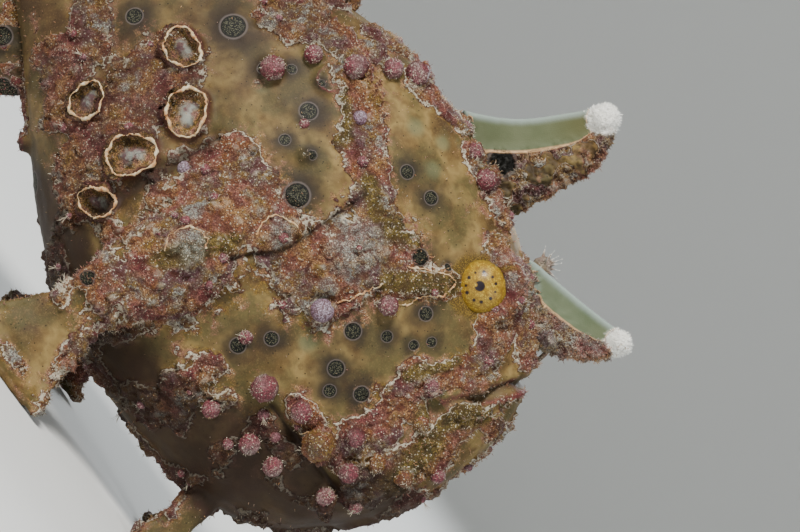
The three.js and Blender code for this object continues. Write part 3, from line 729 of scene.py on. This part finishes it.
def granules(paint, size, hue, crease_shade_colour, white=0.7):
    """Packed grains: each has its own lightness, painted shade lies in the creases between them, and a few
    are white.
    """
    beads = paint.beads(size)
    grains = paint.mix(1.0, hue, paint.ramp(beads["tone"], (0.05, 0.5), (0.95, 1.0)), "MULTIPLY")
    # Painted shade in the creases between the grains.
    between = paint.ramp(beads["distance"], (0.34, 0.0), (0.68, 0.8))
    some = paint.ramp(beads["pick"], (0.93, 0.0), (0.97, white))
    return paint.layers(grains, (between, crease_shade_colour), (some, BONE))


def ground_colours(paint):
    """Bare skin: soft clouds of tan and olive, smoky round the spots, with the finest black freckles."""
    smudge = paint.ramp("ocellus", (0.29, 0.96), (0.44, 0.8), (0.66, 0.42), (0.99, 0.0))
    cloudy = paint.ramp(paint.noise(4.0, 3.0, 0.5, 12.0), (0.3, 0.5), (0.55, 1.0))
    return paint.layers(
        paint.ramp(paint.noise(9.0), (0.38, BROWN), (0.47, TAN), (0.56, GOLD_TAN), (0.68, TAN)),
        (paint.ramp(paint.noise(6.0, 3.0, 0.5, 31.0), (0.44, 0.0), (0.58, 0.8)), OLIVE),
        (paint.ramp(paint.noise(1.2, 4.0), (0.48, 0.0), (0.68, 0.5)), BROWN),
        (paint.ramp(paint.noise(0.3, 2.0), (0.5, 0.0), (0.75, 0.35)), GOLD_TAN),
        (paint.ramp(paint.beads(1.0)["distance"], (0.09, 0.85), (0.13, 0.0)), INK),
        (paint.times("pale", 0.55), GREY_GREEN),
        (paint.times(smudge, cloudy), SMOKE),
    )


def crust_hue(paint):
    """Warm hues in clouds among cool ones."""
    stops = [(0.28, MAROON), (0.38, RASPBERRY), (0.45, DUSTY_PINK)]
    stops += [(0.51, RUST), (0.58, PEACH), (0.68, OLD_GOLD)]
    warm = paint.ramp(paint.noise(4.2, 4.0), *stops)
    stops = [(0.32, MAROON), (0.4, MAUVE), (0.48, ASH), (0.55, OLD_GOLD), (0.62, ICE)]
    cool = paint.ramp(paint.noise(3.4, 4.0, 0.55, 9.0), *stops)
    return paint.mix(paint.ramp(paint.noise(7.0, 4.0, 0.6, 5.0), (0.46, 0.0), (0.56, 0.95)), warm, cool)


def crust_colours(paint):
    """Crust: golden near the lips, icy on the mounds, with painted shade in its creases, and paler crowns
    that are partly pale dust and partly painted highlight.
    """
    stops = [(0.38, OLIVE), (0.52, (0.17, 0.12, 0.024)), (0.66, (0.33, 0.235, 0.07))]
    golden = paint.ramp(paint.noise(1.6), *stops)
    frost = paint.times("ice", paint.ramp(paint.noise(1.6, 4.0, 0.7), (0.34, 0.1), (0.54, 0.95)))
    hue = paint.layers(crust_hue(paint), ("gold", golden), (frost, ICE))
    # The colour of the painted shade in the crust's creases and between its grains.
    dark = paint.mix("gold", (0.075, 0.024, 0.017), BROWN)
    # Painted shade in the creases; the crowns are paler, partly pale dust and partly painted highlight.
    creases = paint.ramp("peak", (0.02, 0.8), (0.36, 0.0))
    tops = paint.times(paint.ramp("peak", (0.8, 0.0), (1.0, 0.5)), paint.noise(1.0))
    return paint.layers(granules(paint, GRAIN, hue, dark), (creases, dark), (tops, BONE))


def scab_layers(paint):
    """An ochre cup with a pale lump in the middle, painted shade just inside its lip, and a painted shadow
    at its foot outside the lip.
    """
    stops = [(0.36, BROWN), (0.44, OLD_GOLD), (0.56, PEACH), (0.66, DUSTY_PINK)]
    cup = granules(paint, GRAIN, paint.ramp(paint.noise(1.6), *stops), UMBER, 0.3)
    lump = paint.ramp(paint.noise(1.3, 3.0, 0.5, 6.0), (0.42, MAUVE), (0.58, ICE))
    # Painted shade: a dark ring in the cup just inside the lip.
    rim_shade = paint.ramp("scab", (0.19, 0.0), (0.24, 0.35))
    cup = paint.layers(cup, (rim_shade, UMBER), (paint.ramp("scab", (0.07, 0.75), (0.14, 0.0)), lump))
    # Painted shadow: a dark band on the skin at the foot of the lip.
    foot = paint.ramp("scab", (0.26, 0.85), (0.36, 0.0))
    return [(foot, MAROON), (paint.ramp("scab", (0.243, 1.0), (0.258, 0.0)), cup)]


def ringed_spot_layers(paint):
    """A dark eye netted with black, inside a thin grey ring."""
    net = paint.ramp(paint.beads(GRAIN)["distance"], (0.22, 0.0), (0.5, 1.0))
    border = paint.ramp("ocellus", (0.18, 0.0), (0.235, 1.0))
    inside = paint.layers((0.095, 0.092, 0.056), (net, INK), (border, INK))
    ring = paint.ramp("ocellus", (0.24, 0.0), (0.255, 0.8), (0.272, 0.8), (0.3, 0.0))
    return [(ring, LILAC), (paint.ramp("ocellus", (0.238, 1.0), (0.25, 0.0)), inside)]


def web_layers(paint):
    """The clear web of a free spine, with a cream line where it leaves the fleshy edge."""
    web = paint.ramp(paint.noise(5.0), (0.35, WEB_SHADE), (0.65, WEB_GREEN))
    web = paint.layers(web, ("gold", WEB_GOLD), ("ice", WEB_RIM))
    line = paint.ramp("web", (0.34, 0.0), (0.48, 0.9), (0.66, 0.0))
    return [(paint.ramp("web", (0.4, 0.0), (0.7, 1.0)), web), (line, CREAM)]


def paint_skin():
    """Crust lies where its field passes one half, with a thin fringe before it, a painted shadow along its
    edge and a torn pale edge.
    """
    paint = Paint("frogfish_skin")
    wobble = paint.times(paint.math("SUBTRACT", paint.noise(0.6), 0.5), 0.2)
    reach = paint.math("ADD", "crust", wobble)
    patches = paint.ramp(paint.noise(2.0, 4.0, 0.7), (0.42, 0.0), (0.56, 1.0))
    thin = paint.times(paint.ramp(reach, (0.3, 0.0), (0.47, 1.0)), patches)
    fringe = paint.ramp(paint.noise(3.0, 3.0, 0.5, 40.0), (0.4, OLD_GOLD), (0.5, PEACH), (0.6, DUSTY_PINK))
    edge = paint.ramp(reach, (0.5, 0.0), (0.507, 1.0), (0.535, 0.9), (0.56, 0.0))
    gate = paint.ramp(paint.noise(5.0, 4.0, 0.7, 21.0), (0.44, 0.0), (0.5, 0.95))
    colour = paint.layers(
        ground_colours(paint),
        (thin, granules(paint, GRAIN, fringe, BROWN, 0.4)),
        # Painted shadow: a dark band on the bare skin just outside the crust's edge.
        (paint.ramp(reach, (0.45, 0.0), (0.498, 0.75)), MAROON),
        (paint.ramp(reach, (0.5, 0.0), (0.512, 1.0)), crust_colours(paint)),
        (paint.times(edge, gate), BONE),
        (paint.ramp("wart", (0.25, 0.0), (0.55, 0.9)), granules(paint, 0.28, RASPBERRY, MAROON)),
        ("turret", granules(paint, GRAIN, (0.26, 0.165, 0.03), BROWN, 0.0)),
        *scab_layers(paint),
        # Painted shade on the underside and towards the tail, over skin that is dark on the underside too.
        (paint.times("belly", paint.ramp(reach, (0.49, 0.88), (0.53, 0.76))), UMBER),
        *ringed_spot_layers(paint),
        # Painted shade in the mouth line and in the folds.
        (paint.times("groove", 0.85), UMBER),
        *web_layers(paint),
        ("tip", KNOB_WHITE),
    )
    rough = paint.math("ADD", paint.ramp(reach, (0.49, 0.1), (0.53, 1.0)), "tip")
    rough = paint.math("ADD", rough, "turret", clamp=True)
    normal = paint.bump(paint.times(paint.noise(0.35, 4.0, 0.7), rough), 0.25)
    normal = paint.bump(paint.times(paint.bead_tops(GRAIN), rough), 0.16, normal)
    return paint.finish(colour, 0.6, 0.18, Normal=normal)


skin_paint = paint_skin()
for piece in [skin, rod, *spines, *fins]:
    piece.data.materials.clear()
    piece.data.materials.append(skin_paint)
print("skin paint has", len(skin_paint.node_tree.nodes), "nodes")

# %% [markdown]
# ## Eyes
#
# The eye is a small golden dome in a fleshy turret. A ring of black dots stands round the dark pupil,
# and the pupil has a notch. The pattern is stored on the mesh, so it turns with the eye.

# %% Model and paint the eyes
# Discs on the eye are x, z and radius.
PUPIL = (-0.2, -0.1, 0.82)
NOTCH = (-0.75, -0.55, 0.32)
DOT_COUNT = 11
DOT_RING = 2.35
DOT_RADIUS = 0.25


def make_eye(name, paint):
    middle = middle_of(name)
    bm = bmesh.new()
    bmesh.ops.create_uvsphere(bm, u_segments=128, v_segments=128, radius=EYE_RADIUS * MM)
    bmesh.ops.rotate(bm, verts=bm.verts, cent=(0, 0, 0), matrix=Matrix.Rotation(math.pi / 2, 3, "X"))
    bmesh.ops.translate(bm, verts=bm.verts, vec=middle)
    mesh = mesh_from(bm, name + "_glass")
    mesh.shade_smooth()
    mesh.materials.append(paint)
    here = (points_of(mesh) - np.array(middle)) / MM
    x, z = here[:, 0], here[:, 2]

    def outside(disc_x, disc_z, radius):
        return np.hypot(x - disc_x, z - disc_z) - radius

    dark = np.maximum(outside(*PUPIL), -outside(*NOTCH))
    for i in range(DOT_COUNT):
        angle = 2.0 * math.pi * (i + rng.uniform(-0.12, 0.12)) / DOT_COUNT
        dot = DOT_RING * math.cos(angle), DOT_RING * math.sin(angle)
        dark = np.minimum(dark, outside(*dot, DOT_RADIUS * rng.uniform(0.7, 1.2)))
    store(mesh, dark=step(0.08, -0.08, dark), outer=np.hypot(x, z) / EYE_RADIUS)
    declare(new_object(name + "_glass", mesh), "eye", name)


def paint_eye():
    paint = Paint("golden_eye")
    stops = [(0.3, (0.22, 0.11, 0.006)), (0.5, (0.42, 0.27, 0.022)), (0.7, (0.56, 0.4, 0.06))]
    gold = granules(paint, 0.22, paint.ramp(paint.noise(0.9, 4.0), *stops), (0.2, 0.1, 0.008), 0.0)
    # Painted shade: the dome darkens towards its edge, where it sinks into the turret.
    rim_shade = paint.ramp("outer", (0.74, 0.0), (0.92, 0.9))
    colour = paint.layers(gold, (rim_shade, (0.1, 0.07, 0.012)), ("dark", (0.008, 0.003, 0.008)))
    return paint.finish(colour, 0.45, 0.3, Coat_Weight=0.12, Coat_Roughness=0.08)


eye_paint = paint_eye()
for name in ("eye_right", "eye_left"):
    make_eye(name, eye_paint)

# %% [markdown]
# ## Warts, thorns and threads
#
# Round warts like raspberries stand on the skin, the crust bristles with tiny pale thorns, and tufts of
# white threads grow between them. Each kind is one small shape made once with an operator and then
# copied to its places. Bump can't break an outline, so all of them are real.


# %% Copy one small shape to many places
def copies(name, template, matrices, slot, paint):
    """One mesh with a copy of the template at each matrix. Each point keeps its height as its crown."""
    corners = points_of(template)
    height = corners[:, 2]
    crown = (height - height.min()) / (height.max() - height.min())
    corners = np.concatenate([corners, np.ones((len(corners), 1))], axis=1)
    placed = [corners @ np.array(matrix).T[:, :3] for matrix in matrices]
    faces = [tuple(polygon.vertices) for polygon in template.polygons]
    all_faces = [tuple(v + i * len(corners) for v in face) for i in range(len(matrices)) for face in faces]
    mesh = bpy.data.meshes.new(name)
    mesh.from_pydata(np.concatenate(placed).tolist(), [], all_faces)
    mesh.shade_smooth()
    mesh.update()
    store(mesh, crown=np.tile(crown, len(matrices)))
    mesh.materials.append(paint)
    piece = new_object(name, mesh)
    declare(piece, slot)
    print(name, len(mesh.polygons), "faces")
    return piece


def template_mesh(name, make):
    bm = bmesh.new()
    make(bm)
    return mesh_from(bm, name)


def stood(place, way, size, length=None):
    """The matrix that stands a shape drawn along Z on a place, pointing a given way."""
    turn = way.to_track_quat("Z", "Y").to_matrix().to_4x4()
    return Matrix.Translation(place) @ turn @ Matrix.Diagonal((size, size, length or size, 1.0))


def any_way():
    return Vector([rng.uniform(-1, 1) for _ in range(3)])


# %% Lay lips round the scabs and along torn edges
def paint_prickles(name, *colours, tip=0.8):
    """Mixed hues at the root, or those of the crust, and pale at the point."""
    paint = Paint(name)
    if colours:
        stops = [(0.34 + 0.32 * i / (len(colours) - 1), colour) for i, colour in enumerate(colours)]
        hue = paint.ramp(paint.noise(1.4, 4.0, 0.8), *stops)
    else:
        hue = crust_hue(paint)
    colour = paint.layers(hue, (paint.ramp("crown", (0.2, 0.0), (0.9, tip)), BONE))
    return paint.finish(colour, 0.5, 0.3)


lip_paint = paint_prickles("cream_lip", RUST, PEACH, (0.5, 0.38, 0.22), BONE, tip=0.0)


def laid_pipes(name, paths, thickness):
    """Bent pipes lying on the finished skin, thick and thin by turns. A path is a side and x, z places."""
    curve = bpy.data.curves.new(name, "CURVE")
    curve.dimensions = "3D"
    curve.bevel_depth = thickness * MM
    curve.bevel_resolution = 2
    for side, spots, closed in paths:
        laid = []
        for x, z in spots:
            place, facing = on_flank(body_tree, x, z, side)
            if place:
                laid.append(place + facing * 0.12 * MM + any_way() * 0.1 * MM)
        spline = curve.splines.new("POLY")
        spline.points.add(len(laid) - 1)
        spline.use_cyclic_u = closed
        for point, place in zip(spline.points, laid):
            point.co = (*place, 1.0)
            point.radius = max(0.25, 0.85 + 1.5 * noise.noise(place / MM * 0.8))
    outline = new_object(name + "_outline", curve)
    mesh = evaluated_mesh(outline)
    bpy.data.objects.remove(outline)
    mesh.shade_smooth()
    mesh.materials.append(lip_paint)
    declare(new_object(name, mesh), "skin")


def scab_outlines():
    for index, (centre, normal, radius) in enumerate(scabs):
        x, _, z = drawn(centre)
        angles = np.linspace(0.0, 2.0 * math.pi, 72, endpoint=False)
        reach = radius * (1.0 - outline_wave(angles, index))
        spots = list(zip(x + reach * np.cos(angles), z + reach * np.sin(angles)))
        yield (RIGHT if normal.y < 0 else LEFT), spots, True


def torn_edges():
    """Each edge cut into short steps that wander a little."""
    for side in SIDES:
        for line in PALE_EDGES:
            spots = []
            for (x0, z0), (x1, z1) in zip(line, line[1:]):
                steps = max(2, int(math.hypot(x1 - x0, z1 - z0) / 0.35))
                for k in range(steps):
                    x, z = x0 + (x1 - x0) * k / steps, z0 + (z1 - z0) * k / steps
                    spots.append((x + rng.uniform(-0.18, 0.18), z + rng.uniform(-0.18, 0.18)))
            yield side, spots, False


laid_pipes("scab_lips", scab_outlines(), 0.21)
laid_pipes("torn_edges", torn_edges(), 0.14)

# %% Set warts on the skin
def bumpy_ball(bm, detail, roughness, taper):
    bmesh.ops.create_icosphere(bm, subdivisions=detail, radius=MM)
    for vert in bm.verts:
        spot = vert.co / MM
        vert.co *= 1.0 + roughness * (noise.noise(spot * 4.5) + noise.noise(spot * 1.9))
        vert.co.xy *= 1.0 - taper * spot.z
        vert.co.z *= 1.0 + taper


def warts_at(name, marks, detail, roughness, taper, white, *hues):
    ball = template_mesh(name, lambda bm: bumpy_ball(bm, detail, roughness, taper))
    matrices = [stood(place - normal * 0.3 * r * MM, normal, r * 0.92) for place, normal, r in marks]
    return copies(name, ball, matrices, "skin", paint_wart(name, white, *hues))


def paint_wart(name, white, low, high, top):
    """Two hues in clouds, a third on the crown, pale grains and painted shade at the foot."""
    paint = Paint(name)
    hue = paint.ramp(paint.noise(2.6, 3.0, 0.5, 3.0), (0.42, low), (0.58, high))
    hue = paint.layers(hue, (paint.ramp("crown", (0.6, 0.0), (1.0, 0.7)), top))
    # Painted shade: the wart darkens at its foot, where it meets the skin.
    foot = paint.ramp("crown", (0.25, 0.85), (0.55, 0.0))
    colour = paint.layers(granules(paint, 0.24, hue, MAROON, white), (foot, MAROON))
    return paint.finish(colour, 0.5, 0.35, Normal=paint.bump(paint.bead_tops(0.24), 0.16))


def picked(weights, count, seed):
    return np.random.default_rng(seed).choice(len(weights), size=count, p=weights / weights.sum())


def on_finished_skin(marks):
    return [(*body_tree.find_nearest(place)[:2], size) for place, _, size in both_flanks(marks, 1.0)]


skin_points = points_of(skin.data)
listed = on_finished_skin(WARTS)
cones = on_finished_skin(CONE_WARTS)
lilacs = on_finished_skin(LILAC_WARTS)
small = []
for i in picked((crust + 0.05) * (height > 5.0), 130, 21):
    small.append((Vector(skin_points[i]), Vector(normals[i]), rng.uniform(0.45, 1.05)))
RED_HUES = ((0.22, 0.05, 0.065), (0.3, 0.21, 0.2), (0.26, 0.05, 0.075))
LILAC_HUES = ((0.3, 0.18, 0.26), (0.38, 0.29, 0.37), (0.46, 0.4, 0.47))
PINK_TOP = (0.36, 0.13, 0.15)
prickly = [
    warts_at("raspberry_warts", listed, 4, 0.09, 0.06, 0.3, *RED_HUES),
    warts_at("small_warts", small, 3, 0.09, 0.06, 0.4, RASPBERRY, MAUVE, PINK_TOP),
]
warts_at("lilac_warts", lilacs, 4, 0.01, 0.0, 0.0, *LILAC_HUES)
prickly.append(warts_at("cone_warts", cones, 4, 0.1, 0.42, 0.5, RUST, OLD_GOLD, OLIVE))


# %% Scatter thorns over the crust
def thorn_shape(bm):
    bmesh.ops.create_cone(bm, segments=3, radius1=0.07 * MM, radius2=0.0, depth=MM)
    bmesh.ops.translate(bm, verts=bm.verts, vec=(0, 0, 0.35 * MM))


thorn = template_mesh("thorn", thorn_shape)


def thorns_on(name, mesh, weights, count, length, slot, paint):
    points, ways = points_of(mesh), points_of(mesh, "normal")
    matrices = []
    for i in picked(weights, count, 5):
        place = Vector(points[i]) + any_way() * 0.25 * MM
        way = Vector(ways[i]) + 0.55 * any_way()
        matrices.append(stood(place, way, rng.uniform(0.6, 1.3), length * rng.uniform(0.5, 1.5)))
    return copies(name, thorn, matrices, slot, paint)


thorn_paint = paint_prickles("pale_thorn", tip=0.3)
knob_paint = paint_prickles("knob_fuzz", (0.9, 0.89, 0.82), (0.97, 0.97, 0.94), tip=0.0)
white_paint = paint_prickles("white_thorn", PEACH, ASH, BONE, ICE)
open_skin = (1.0 - 0.9 * belly) * (1.0 - 0.9 * turret) * (1.0 - folds) * step(0.8, 2.5, height)
crust_weights = (crust * (0.25 + peak) + 0.8 * wart_relief + 0.004) * open_skin
thorns_on("skin_thorns", skin.data, crust_weights, 24000, 0.45, "skin", thorn_paint)
edge_weights = np.exp(-(((crust_reach - 0.06) / 0.07) ** 2)) * step(0.0, 0.35, cloud(places, 6.0, 3, 17.0))
edge_weights = (edge_weights + 3.6 * finger * (1.0 - finger)) * open_skin
thorns_on("edge_thorns", skin.data, edge_weights, 5000, 0.42, "skin", white_paint)


def field_of(mesh, name):
    values = np.empty(len(mesh.vertices))
    mesh.attributes[name].data.foreach_get("value", values)
    return values


for piece in spines:
    mesh = piece.data
    web, tip, crusted, spot = (field_of(mesh, name) for name in ("web", "tip", "crust", "ocellus"))
    arm = (1.0 - web) ** 2 * (1.0 - tip) * (crusted > 0.5) * (spot > 0.28) + 1e-6
    thorns_on(piece.name + "_thorns", mesh, arm, 2600, 0.45, "spine_skin", thorn_paint)
    thorns_on(piece.name + "_fuzz", mesh, tip**2 + 1e-6, 1400, 0.42, "spine_skin", knob_paint)
for piece in fins:
    crusted = (field_of(piece.data, "crust") > 0.5) + 0.02
    thorns_on(piece.name + "_thorns", piece.data, crusted, 2600, 0.36, "fin_web", thorn_paint)
for piece in prickly:
    crowns = field_of(piece.data, "crown") ** 2
    thorns_on(piece.name + "_thorns", piece.data, crowns, len(crowns) // 9, 0.28, "skin", white_paint)


# %% Grow tufts of white threads
def thread_tuft(bm):
    """A few thin bent threads from one root, each a narrow cone grown by extrusion."""
    for i in range(6):
        lean = Vector((math.cos(2.1 * i), math.sin(2.1 * i), 0.0)) * rng.uniform(0.1, 0.5)
        ring = bmesh.ops.create_circle(bm, segments=3, radius=0.055 * MM)["verts"]
        edges = list({edge for vert in ring for edge in vert.link_edges})
        for level in range(4):
            grown = bmesh.ops.extrude_edge_only(bm, edges=edges)["geom"]
            ring = [item for item in grown if isinstance(item, bmesh.types.BMVert)]
            edges = [item for item in grown if isinstance(item, bmesh.types.BMEdge)]
            middle = sum((vert.co for vert in ring), Vector()) / len(ring)
            rise = Vector((0, 0, 0.3)) + lean * (0.15 + 0.12 * level)
            for vert in ring:
                vert.co = middle + (vert.co - middle) * 0.72 + rise * MM


tuft = template_mesh("thread_tuft", thread_tuft)
tufts = []
for place, normal, radius in listed + cones + small:
    if rng.random() < 0.45:
        way = normal + 0.6 * any_way()
        tufts.append(stood(place + normal * 0.6 * radius * MM, way, rng.uniform(0.8, 1.7)))
for i in picked(edge_weights, 150, 33):
    way = Vector(normals[i]) + 0.5 * any_way()
    tufts.append(stood(Vector(skin_points[i]), way, rng.uniform(0.4, 1.1)))
copies("thread_tufts", tuft, tufts, "skin", white_paint)

# %% Hang the pieces on the fish and hide the solids they stand for
declare(skin, "skin", *FLESH)
declare(rod, "spine_skin", "illicium", "esca")
for piece, node in zip(spines, KNOBS):
    declare(piece, "spine_skin", node)
for piece, node in zip(fins, FINS):
    declare(piece, "fin_web", node)

# %% [markdown]
# ## Studio
#
# The fish stands on a pale round sweep whose floor curves up into the wall all the way round, so no
# hard horizon crosses the tilted picture. The light is a large soft key from above the camera, a
# weaker fill from the front and a cool edge from behind.


# %% Build the sweep
def make_sweep():
    bm = bmesh.new()
    floor_reach = 1.6
    bend = 0.7
    profile = [Vector((0.0, 0.0, 0.0)), Vector((floor_reach, 0.0, 0.0))]
    for i in range(1, 13):
        angle = math.pi / 2 * i / 12
        profile.append(Vector((floor_reach + bend * math.sin(angle), 0.0, bend * (1.0 - math.cos(angle)))))
    profile.append(Vector((floor_reach + bend, 0.0, 2.6)))
    verts = [bm.verts.new(p) for p in profile]
    edges = [bm.edges.new(pair) for pair in zip(verts, verts[1:])]
    bmesh.ops.spin(
        bm, geom=verts + edges, cent=(0, 0, 0), axis=(0, 0, 1), angle=2 * math.pi, steps=64, use_merge=True
    )
    bmesh.ops.remove_doubles(bm, verts=bm.verts, dist=1e-5)
    bmesh.ops.recalc_face_normals(bm, faces=bm.faces)
    mesh = mesh_from(bm, "sweep")
    mesh.shade_smooth()
    mesh.materials.append(Paint("pale_paper").finish((0.74, 0.75, 0.74), 0.9, 0.5))
    return new_object("sweep", mesh)


make_sweep()


# %% Hang the lights
def area_light(name, place, size, power, colour):
    light = bpy.data.lights.new(name, "AREA")
    light.shape = "DISK"
    light.size = size
    light.energy = power
    light.color = colour
    lamp = new_object(name, light)
    lamp.location = place
    lamp.rotation_euler = (at(-5, 0, 50) - Vector(place)).to_track_quat("-Z", "Y").to_euler()


area_light("key", (-0.5, -0.8, 0.8), 0.36, 25.0, (1.0, 0.97, 0.92))
area_light("fill", (0.8, -0.55, 0.35), 0.6, 3.0, (0.95, 0.98, 1.0))
area_light("edge", (0.15, 0.85, 0.75), 0.6, 8.0, (0.93, 0.97, 1.0))
world = bpy.data.worlds.new("studio")
world.use_nodes = True
background = world.node_tree.nodes["Background"].inputs
background["Color"].default_value = (0.8, 0.86, 0.9, 1.0)
background["Strength"].default_value = 0.28
scene.world = world

# %% [markdown]
# The picture was taken with the fish heading steeply down to the right. The fish stands level here, so
# the camera is rolled instead: its right-hand direction climbs towards the back of the fish.

# %% Set the camera
PICTURE_ROLL = math.radians(55.0)
PICTURE_MIDDLE = (-2.44, 58.56)
DISTANCE = 500.0
PIXELS_PER_MM = 6.285
camera_data = bpy.data.cameras.new("camera")
camera_data.sensor_width = 36.0
camera_data.lens = 36.0 * DISTANCE * PIXELS_PER_MM / 800.0
camera = new_object("camera", camera_data)
right = Vector((math.cos(PICTURE_ROLL), 0.0, math.sin(PICTURE_ROLL)))
up = Vector((-math.sin(PICTURE_ROLL), 0.0, math.cos(PICTURE_ROLL)))
turned = Matrix((right, up, Vector((0.0, -1.0, 0.0)))).transposed().to_4x4()
camera.matrix_world = Matrix.Translation(at(PICTURE_MIDDLE[0], -DISTANCE, PICTURE_MIDDLE[1])) @ turned
scene.camera = camera
print("lens", round(camera_data.lens, 1), "mm")
